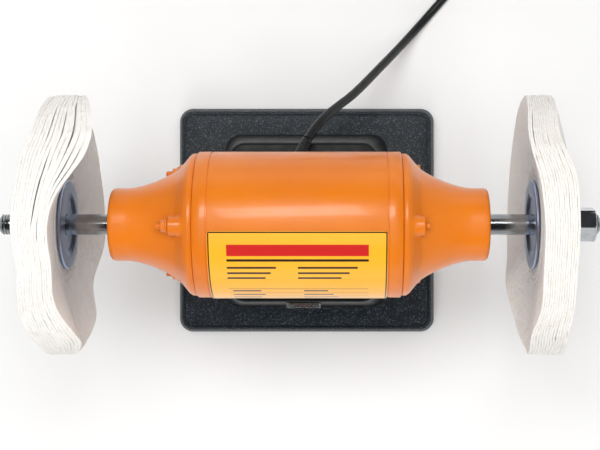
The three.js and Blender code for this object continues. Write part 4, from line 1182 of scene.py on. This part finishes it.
def ripple(draw, angles, lobes, size):
    """A closed random wave round the rim."""
    wave = np.zeros_like(angles)
    for lobe in lobes:
        wave += draw.uniform(-1, 1) * np.sin(lobe * angles + draw.uniform(0, 2 * math.pi))
    return size * wave / math.sqrt(len(lobes))


def wheel_plies(name, side, seed):
    """Every ply of a wheel as one shape."""
    draw = random.Random(seed)
    angles = np.linspace(0, 2 * math.pi, AROUND, endpoint=False)
    degrees = np.degrees(angles)
    inner_edge = around_the_rim(BANDS[name], 1, angles)
    outer_edge = around_the_rim(BANDS[name], 2, angles)
    band = outer_edge - inner_edge
    gaps = np.full((PLY_COUNT, AROUND), 0.03)
    for after, start, end, width in SLITS[name]:
        away = np.abs((degrees - (start + end) / 2 + 180) % 360 - 180)
        gaps[after - 1] += width * smooth(1.6 * (1 - away / ((end - start) / 2)))
    # what the slits leave of the band fluffs the plies up, the inboard ones most
    cotton_width = band - gaps[:-1].sum(axis=0)
    even = np.minimum(PLY_THICKNESS, cotton_width / PLY_COUNT)
    shares = np.array([(PLY_COUNT - ply) ** 1.5 for ply in range(PLY_COUNT)])
    thickness = even + np.outer(shares / shares.sum(), cotton_width - PLY_COUNT * even)
    common = ripple(draw, angles, (7, 11), 0.25)
    shapes = []
    hub_step = (hub_out[name] - 0.2 - HUB_IN) / PLY_COUNT
    offset = np.zeros(AROUND)
    for ply in range(PLY_COUNT):
        rim_in = inner_edge + offset + common
        rim_out = rim_in + thickness[ply]
        offset = offset + thickness[ply] + gaps[ply]
        inner_end = HUB_IN + hub_step * ply + 0.02
        outer_end = inner_end + hub_step - 0.04
        reach = WHEEL_RADIUS - 0.9 + ripple(draw, angles, (3, 7, 12, 23, 41), 0.45)
        reach += np.array([draw.uniform(-0.12, 0.12) for _ in range(AROUND)])
        reach = np.minimum(reach, WHEEL_RADIUS)
        rings = []
        front = [(r, 0.0) for r in PLY_RADII]
        back = [(r, 1.0) for r in reversed(PLY_RADII)]
        rim = [(99.7, 0.02), (100, 0.2), (100, 0.8), (99.7, 0.98)]
        for radius, through in front + rim + back:
            share = np.clip((radius - HUB_RADIUS) / (WHEEL_RADIUS - HUB_RADIUS), 0, 1)
            lean = share ** 1.25
            here = radius + (reach - WHEEL_RADIUS) * share ** 3
            along_in = inner_end + (rim_in - inner_end) * lean
            along_out = outer_end + (rim_out - outer_end) * lean
            along = along_in + (along_out - along_in) * through
            sideways, upwards = here * np.sin(angles), AXIS_Z + here * np.cos(angles)
            rings.append(np.stack([side * along, sideways, upwards], axis=1))
        shapes.append(skin(rings, closed=True))
    return merged(*shapes)


def buff_cotton():
    """Loose-woven bleached cotton: warm white, matt, fuzzy at its cut edge, and greyed towards the hub by
    painted shade.
    """
    # the weave's 0.8 mm threads are drawn at 1.6 mm, so that they show
    material, tree, shader, place = finish(
        "bleached_cotton_sheeting", Roughness=0.95, IOR=1.45, Sheen_Weight=0.25, Sheen_Roughness=0.6)
    radius = axis_distance(tree, place)
    # painted shade: the cloth runs from grey at the hub, where the flanges shade it, to white at the rim
    rim = add(tree, "ShaderNodeMapRange", {"Value": radius, "From Min": 0.04, "From Max": 0.098}).outputs[0]
    tone = blend_colours(tree, rim, "#B9BBBE", "#F1EEEA")
    hub_shade_and_blotch = blend_colours(tree, mottle(tree, place, 14, 0, 0.35), tone, "#E6DFD2")
    feed(tree, hub_shade_and_blotch, shader, "Base Color")
    stretched = add(tree, "ShaderNodeMapping", {"Vector": place, "Scale": (0.35, 1.0, 1.0)}).outputs[0]
    threads = mottle(tree, stretched, 1.6, 0, 1, 2.0)
    soft = emboss(tree, shader, mottle(tree, place, 9, 0, 1, 2.0), 1.0)
    emboss(tree, shader, threads, 0.35, soft)
    return material


cotton = buff_cotton()
for (name, side), seed in zip(SIDES, (11, 29)):
    wheel = piece(f"cotton_wheel_{name}", wheel_plies(name, side, seed), cotton, "spindle", "buff_cotton",
                  [f"buff_wheel_{name}"], sharp=50)
    print("wheel", name, PLY_COUNT, "plies,", len(wheel.data.polygons), "faces")

# %% [markdown]
# ## The stitches
# The plies are sewn through in circles close to the clamp. Cotton thread lies in short raised beads,
# pulled a little into the cloth. The stitch tree sets a bead along every step of a circle, once for
# each row and each face of a wheel.

# %% The stitches
THREAD_SIZE = 0.55
STITCH_LENGTH = 2.4


def waxed_thread():
    material, tree, shader, place = finish("waxed_cotton_thread", Roughness=0.7, IOR=1.45)
    feed(tree, blend_colours(tree, mottle(tree, place, 2, 0, 1), "#CFCBC3", "#E2DED6"), shader, "Base Color")
    emboss(tree, shader, mottle(tree, place, 0.6, 0, 1), 0.08)
    return material


thread = waxed_thread()


def hub_face(name, side_of_wheel, radius):
    """How far along the axis a face of the wheel lies at a radius, on average."""
    edge = np.mean([row[1 if side_of_wheel < 0 else 2] for row in BANDS[name]])
    share = max((radius - HUB_RADIUS) / (WHEEL_RADIUS - HUB_RADIUS), 0) ** 1.25
    hub = HUB_IN if side_of_wheel < 0 else hub_out[name]
    return hub + (edge - hub) * share


for name, side in SIDES:
    parts = []
    for face in (-1, 1):
        for row_radius in (39.5, 44.0):
            stitches = round(2 * math.pi * row_radius / (2 * STITCH_LENGTH * 1.35))
            row = grown(stitch_rule, "stitches", Radius=row_radius * MM, Stitches=stitches,
                        Length=STITCH_LENGTH * MM, Thread=THREAD_SIZE * MM,
                        Along=side * hub_face(name, face, row_radius) * MM, Height=AXIS_Z * MM,
                        Material=thread)
            parts.append(shape_of(row))
    sewn = piece(f"wheel_stitches_{name}", merged(*parts), thread, "spindle", "buff_cotton")
    print("stitches", name, len(sewn.data.polygons), "faces")

# %% [markdown]
# ## Strain relief, coil tie and plug
# Where the cord leaves the saddle, a ribbed rubber sleeve tapers down to it, so that it can't kink.
# The coil is held by a hook-and-loop strap, and the round two-pin plug lies beside it. The sleeve is
# a lathe outline with a rib every few millimetres, turned to point along the cord's first stretch.

# %% The strain relief
ROOT = np.array((-5.0, 50.0, 126.0))
toward = np.array(ROUTE[0]) - ROOT
SLEEVE = float(np.linalg.norm(toward)) - 0.3
sleeve_outline = [(-1.0, 0), (-1.0, 6.4), (0.5, 6.6), (1.5, 5.8)]
RIBS = 7
for rib in range(RIBS):
    start = 2.2 + rib * (SLEEVE - 3.5) / RIBS
    step = (SLEEVE - 3.5) / RIBS
    size = 5.6 + (4.3 - 5.6) * (start / SLEEVE)
    sleeve_outline += [(start, size - 0.3), (start + 0.25 * step, size), (start + 0.6 * step, size),
                       (start + 0.8 * step, size - 0.3)]
sleeve_outline += [(SLEEVE - 0.6, 4.2), (SLEEVE, 3.95), (SLEEVE, 0)]
aim = Vector((1, 0, 0)).rotation_difference(Vector(toward)).to_matrix().to_4x4()
sleeve = moved(turned_about_x(sleeve_outline, 40, 0.0, closed=False), Matrix.Translation(Vector(ROOT)) @ aim)
collar_outline = soften([(46.2, 0), (46.2, 8.4), (49.2, 7.8), (50.6, 6.0), (50.6, 0)], 0.5, 3)
collar = turned_about_x(collar_outline, 40, 0.0, closed=False)
grommet = turned_about_x([(37.3, 0), (37.3, 6.4), (38.3, 6.9), (39.6, 5.8), (46.6, 5.8), (46.6, 0)], 40, 0.0,
                         closed=False)
upright = Matrix.Translation((-6, 0, 126)) @ Matrix.Rotation(math.pi / 2, 4, "Z")
piece("cord_sleeve", merged(sleeve, moved(merged(collar, grommet), upright)), cord_pvc, "motor_frame",
      "cord_pvc", ["strain_relief"])
print("sleeve", round(SLEEVE, 1), "mm long with", RIBS, "ribs")

# %% The coil tie and the plug
TIE_ANGLE = math.radians(215)
TIE_WIDTH = 12.0
bundle_middle, bundle_half = (29.1 + 57.7) / 2, (57.7 - 29.1) / 2 + 0.5
tie_rings = []
for along in (-TIE_WIDTH / 2, -TIE_WIDTH / 2 + 0.5, TIE_WIDTH / 2 - 0.5, TIE_WIDTH / 2):
    grow = 1.1 if abs(along) < TIE_WIDTH / 2 else 0.7
    tie_rings.append([(along, bundle_middle + p[0], 7.65 + p[1]) for p in
                      rounded_rectangle(bundle_half + grow, 7.2 + 0.35 * grow, 5.5, 0)])
for along in (TIE_WIDTH / 2, -TIE_WIDTH / 2):
    tie_rings.append([(along, bundle_middle + p[0], 7.65 + p[1]) for p in
                      rounded_rectangle(bundle_half, 7.2, 5, 0)])
turn = Matrix.Translation((*COIL_CENTRE, 0)) @ Matrix.Rotation(TIE_ANGLE, 4, "Z")
turn = turn @ Matrix.Rotation(-math.pi / 2, 4, "Z")
strap = moulded("hook_and_loop_tape", "#17181A", "#2B2D30", 0.85, 0.7, 0.2, Sheen_Weight=0.3)
tie = piece("coil_tie", moved(skin(tie_rings, closed=True), turn), strap, "motor_frame", "cord_pvc")

PLUG_PLACE = (52.0, 325.2, 5.1)
PLUG_TILT = math.radians(-13.2)
plug_outline = [(0, 0), (0, 4.2), (0.8, 4.6)]
for rib in range(5):
    start = 2 + rib * 4
    size = 4.7 + 1.7 * start / 22
    plug_outline += [(start, size - 0.6), (start + 0.8, size), (start + 2.6, size), (start + 3.2, size - 0.6)]
plug_outline += soften([(22, 6.2), (22.3, 10), (44, 14), (56, 18.4), (68, 18.4), (68, 0)], 1.6, 4)
plug_parts = [turned_about_x(plug_outline, 72, 0.0, closed=False)]
for across in (-9.5, 9.5):
    pin = [(67, 0), (67, 2.4), (85.4, 2.4), (86.6, 1.9), (87, 1.0), (87, 0)]
    plug_parts.append(moved(turned_about_x(pin, 24, 0.0, closed=False), Matrix.Translation((0, across, 0))))
lay = Matrix.Translation(PLUG_PLACE) @ Matrix.Rotation(math.pi, 4, "Z") @ Matrix.Rotation(PLUG_TILT, 4, "Y")
plug = piece("mains_plug", moved(plug_parts[0], lay), cord_pvc, "motor_frame", "cord_pvc", ["plug"])
pins = piece("plug_pins", moved(merged(*plug_parts[1:]), lay), chrome, "motor_frame", "cord_pvc")

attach(cord, "motor_frame")
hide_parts("power_cord", "cord_coil", "cord_tail")

# %% [markdown]
# ## The switch
# A rocker switch sits in the pedestal's leaning front under a clear splash cover. Its bezel is a
# rounded frame, the rocker is a shallow V that tips about its middle, and two generic marks, a line
# and a ring, show on and off. The pieces are made upright and then leaned with the pedestal.
# Known fault: the cut through the bezel leaves a thin sheet across its front, which hides the rocker.

# %% The switch


def to_front(shape):
    """A shape whose Z is out of the panel becomes one that faces the front."""
    return moved(shape, Matrix.Rotation(math.pi / 2, 4, "X"))


pocket = to_front(block(-7.5, 7.5, -8, 8, -15, 4, 0.6, 2))
frame_parts = []
for outline in (block(-13, 13, -12, 12, 0.3, 1.5, 2.2, 4), block(-10.9, 10.9, -9.9, 9.9, -20, 0.5, 1.0, 3)):
    cut_mesh = carved(to_front(outline), pocket)
    frame_parts.append(shape_of(cut_mesh))
piece("switch_frame", moved(merged(*frame_parts), switch_place), black_nylon, "motor_frame",
      "switch_plastic", ["switch_body"], mend=False)

ROCKER_HALF, ROCKER_HIGH, ROCKER_REST = 7.0, 7.0, math.radians(12)
rocker_outline = soften([(-1.2, 0), (-2.9, ROCKER_HIGH), (1, ROCKER_HIGH - 0.4), (6, 3), (6, -3),
                         (1, -ROCKER_HIGH + 0.4), (-2.9, -ROCKER_HIGH)], 0.5, 3, closed=True)
rocker_rings = []
for x, inset in ((-ROCKER_HALF, 0.5), (0.5 - ROCKER_HALF, 0), (ROCKER_HALF - 0.5, 0), (ROCKER_HALF, 0.5)):
    ring = []
    for y, z in rocker_outline:
        centre = np.array((1.5, 0.0))
        spot = centre + (np.array((y, z)) - centre) * (1 - inset / 9)
        ring.append((x, spot[0], spot[1]))
    rocker_rings.append(ring)
rocker_points, rocker_faces = skin(rocker_rings)
edge = len(rocker_outline)
rocker_faces += [tuple(range(edge)), tuple(range(3 * edge, 4 * edge))]
rocker_place = switch_place @ Matrix.Translation((0, 2, 0)) @ Matrix.Rotation(ROCKER_REST, 4, "X")
piece("rocker_key", moved((rocker_points, rocker_faces), rocker_place), black_nylon, "rocker",
      "switch_plastic", ["switch_rocker"])
line_mark = block(-0.4, 0.4, -1.9, 1.9, 0, 0.3, 0.2, 2)
ring_mark = moved(turned_about_x([(-0.15, 1.2), (-0.15, 1.8), (0.15, 1.8), (0.15, 1.2)], 32, 0.0),
                  Matrix.Rotation(math.pi / 2, 4, "Y"))
slope = math.atan2(1.7, ROCKER_HIGH)
upper = Matrix.Translation((0, -2.05, 3.6)) @ Matrix.Rotation(slope, 4, "X")
lower = Matrix.Translation((0, -2.05, -3.6)) @ Matrix.Rotation(-slope, 4, "X")
marks = merged(moved(to_front(line_mark), upper), moved(to_front(ring_mark), lower))
piece("rocker_marks", moved(marks, rocker_place), white_nylon, "rocker", "switch_plastic")

cap_rings = [rounded_rectangle(w, h, r, z, 4) for w, h, r, z in (
    (13.3, 12.3, 2.3, 0.4), (13.3, 12.3, 2.3, 3.0), (7.0, 6.0, 1, 3.0), (7.0, 6.0, 1, 4.2),
    (13.6, 12.6, 2.6, 4.2), (14.3, 13.3, 3.2, 3.6), (14.5, 13.5, 3.4, 2.9), (14.5, 13.5, 3.4, 0.4))]
cap_frame = skin(cap_rings, closed=True)
cap_middle = block(-7.2, 7.2, -6.2, 6.2, 3.05, 4.15, 1.0, 3)
piece("switch_cover", moved(to_front(merged(cap_frame)), switch_place), clear_cover, "motor_frame",
      "cap_plastic", ["switch_cap"])
piece("switch_cover_window", moved(to_front(cap_middle), switch_place), clear_cover, "motor_frame",
      "cap_plastic")
print("switch at height", SWITCH_HEIGHT, "mm")

# %% [markdown]
# ## The pieces inside
# The bearings, cores, windings, seals, capacitor and bolts have the right shapes in the CAD model
# already, so they stay and only take their real finishes.

# %% The pieces inside
INSIDE = {
    "stator_core": laminations, "rotor_core": laminations, "stator_winding_left": copper,
    "stator_winding_right": copper, "wave_spring": steel, "run_capacitor": aluminium,
    "capacitor_clamp": zinc, "terminal_block": white_nylon, "saddle_bolt_left": zinc,
    "saddle_bolt_right": zinc,
}
for name, _ in FEET:
    INSIDE[f"pedestal_bolt_{name}"] = zinc
    INSIDE[f"foot_screw_{name}"] = zinc
for name, _ in SIDES:
    INSIDE[f"shaft_seal_{name}"] = felt
    for part in ("outer_ring", "inner_ring", "cage"):
        INSIDE[f"bearing_{part}_{name}"] = steel
for node, material in INSIDE.items():
    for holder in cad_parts[node].material_slots:
        holder.link = "OBJECT"
        holder.material = material
print(len(INSIDE), "CAD nodes keep their shape")

# %% [markdown]
# ## Floor and light
# A pale bench and a room with bright walls and a dim ceiling light the machine softly, as in a light
# tent. One softbox hangs above and behind it and lays a highlight along the tube's top. Two broad
# fills, above and in front, whiten the bench, and are kept out of reflections so that they add no
# highlight of their own.

# %% Floor and light
floor_mesh = bpy.data.meshes.new("bench")
floor_mesh.from_pydata([(-4, -4, 0), (4, -4, 0), (4, 4, 0), (-4, 4, 0)], [], [(0, 1, 2, 3)])
pale, pale_tree, pale_shader, pale_place = finish("pale_bench_laminate", Roughness=0.6)
feed(pale_tree, blend_colours(pale_tree, mottle(pale_tree, pale_place, 200, 0, 1), "#F4F4F3", "#F8F8F7"),
     pale_shader, "Base Color")
floor_mesh.materials.append(pale)
floor = bpy.data.objects.new("bench", floor_mesh)
bpy.context.scene.collection.objects.link(floor)

# bright walls and a dim ceiling: the metals need something dark to mirror
room_light = bpy.data.worlds.new("light_tent")
room_light.use_nodes = True
sky = room_light.node_tree
toward_sky = add(sky, "ShaderNodeTexCoord").outputs["Generated"]
height_share = add(sky, "ShaderNodeSeparateXYZ", {0: toward_sky}).outputs[2]
ramp = add(sky, "ShaderNodeValToRGB", {0: height_share})
stops = [(0.0, "#FFFFFF"), (0.22, "#F4F4F4"), (0.45, "#8A8A8C"), (0.7, "#3C3D40"), (1.0, "#303134")]
for _ in range(len(stops) - 2):
    ramp.color_ramp.elements.new(0.5)
for element, (at, colour) in zip(ramp.color_ramp.elements, stops):
    element.position = at
    element.color = linear(colour)
sky.links.new(ramp.outputs[0], sky.nodes["Background"].inputs[0])
sky.nodes["Background"].inputs[1].default_value = 1.0
bpy.context.scene.world = room_light


def softbox(name, place, target, width, depth, watts, mirrored=True):
    light = bpy.data.lights.new(name, "AREA")
    light.shape = "RECTANGLE"
    light.size, light.size_y, light.energy = width, depth, watts
    lamp = bpy.data.objects.new(name, light)
    lamp.location = place
    lamp.rotation_euler = (Vector(target) - Vector(place)).to_track_quat("-Z", "Y").to_euler()
    lamp.visible_glossy = mirrored
    bpy.context.scene.collection.objects.link(lamp)


MOTOR_MIDDLE = (0, 0, 0.19)
softbox("softbox_above", (-0.1, 0.6, 1.75), MOTOR_MIDDLE, 0.9, 0.45, 10)
softbox("fill_above", (0, 0, 2.2), MOTOR_MIDDLE, 2.4, 2.4, 38, mirrored=False)
softbox("fill_front", (-0.3, -1.8, 1.4), MOTOR_MIDDLE, 1.2, 1.2, 12, mirrored=False)
print("floor and lights set")

bpy.context.view_layer.update()
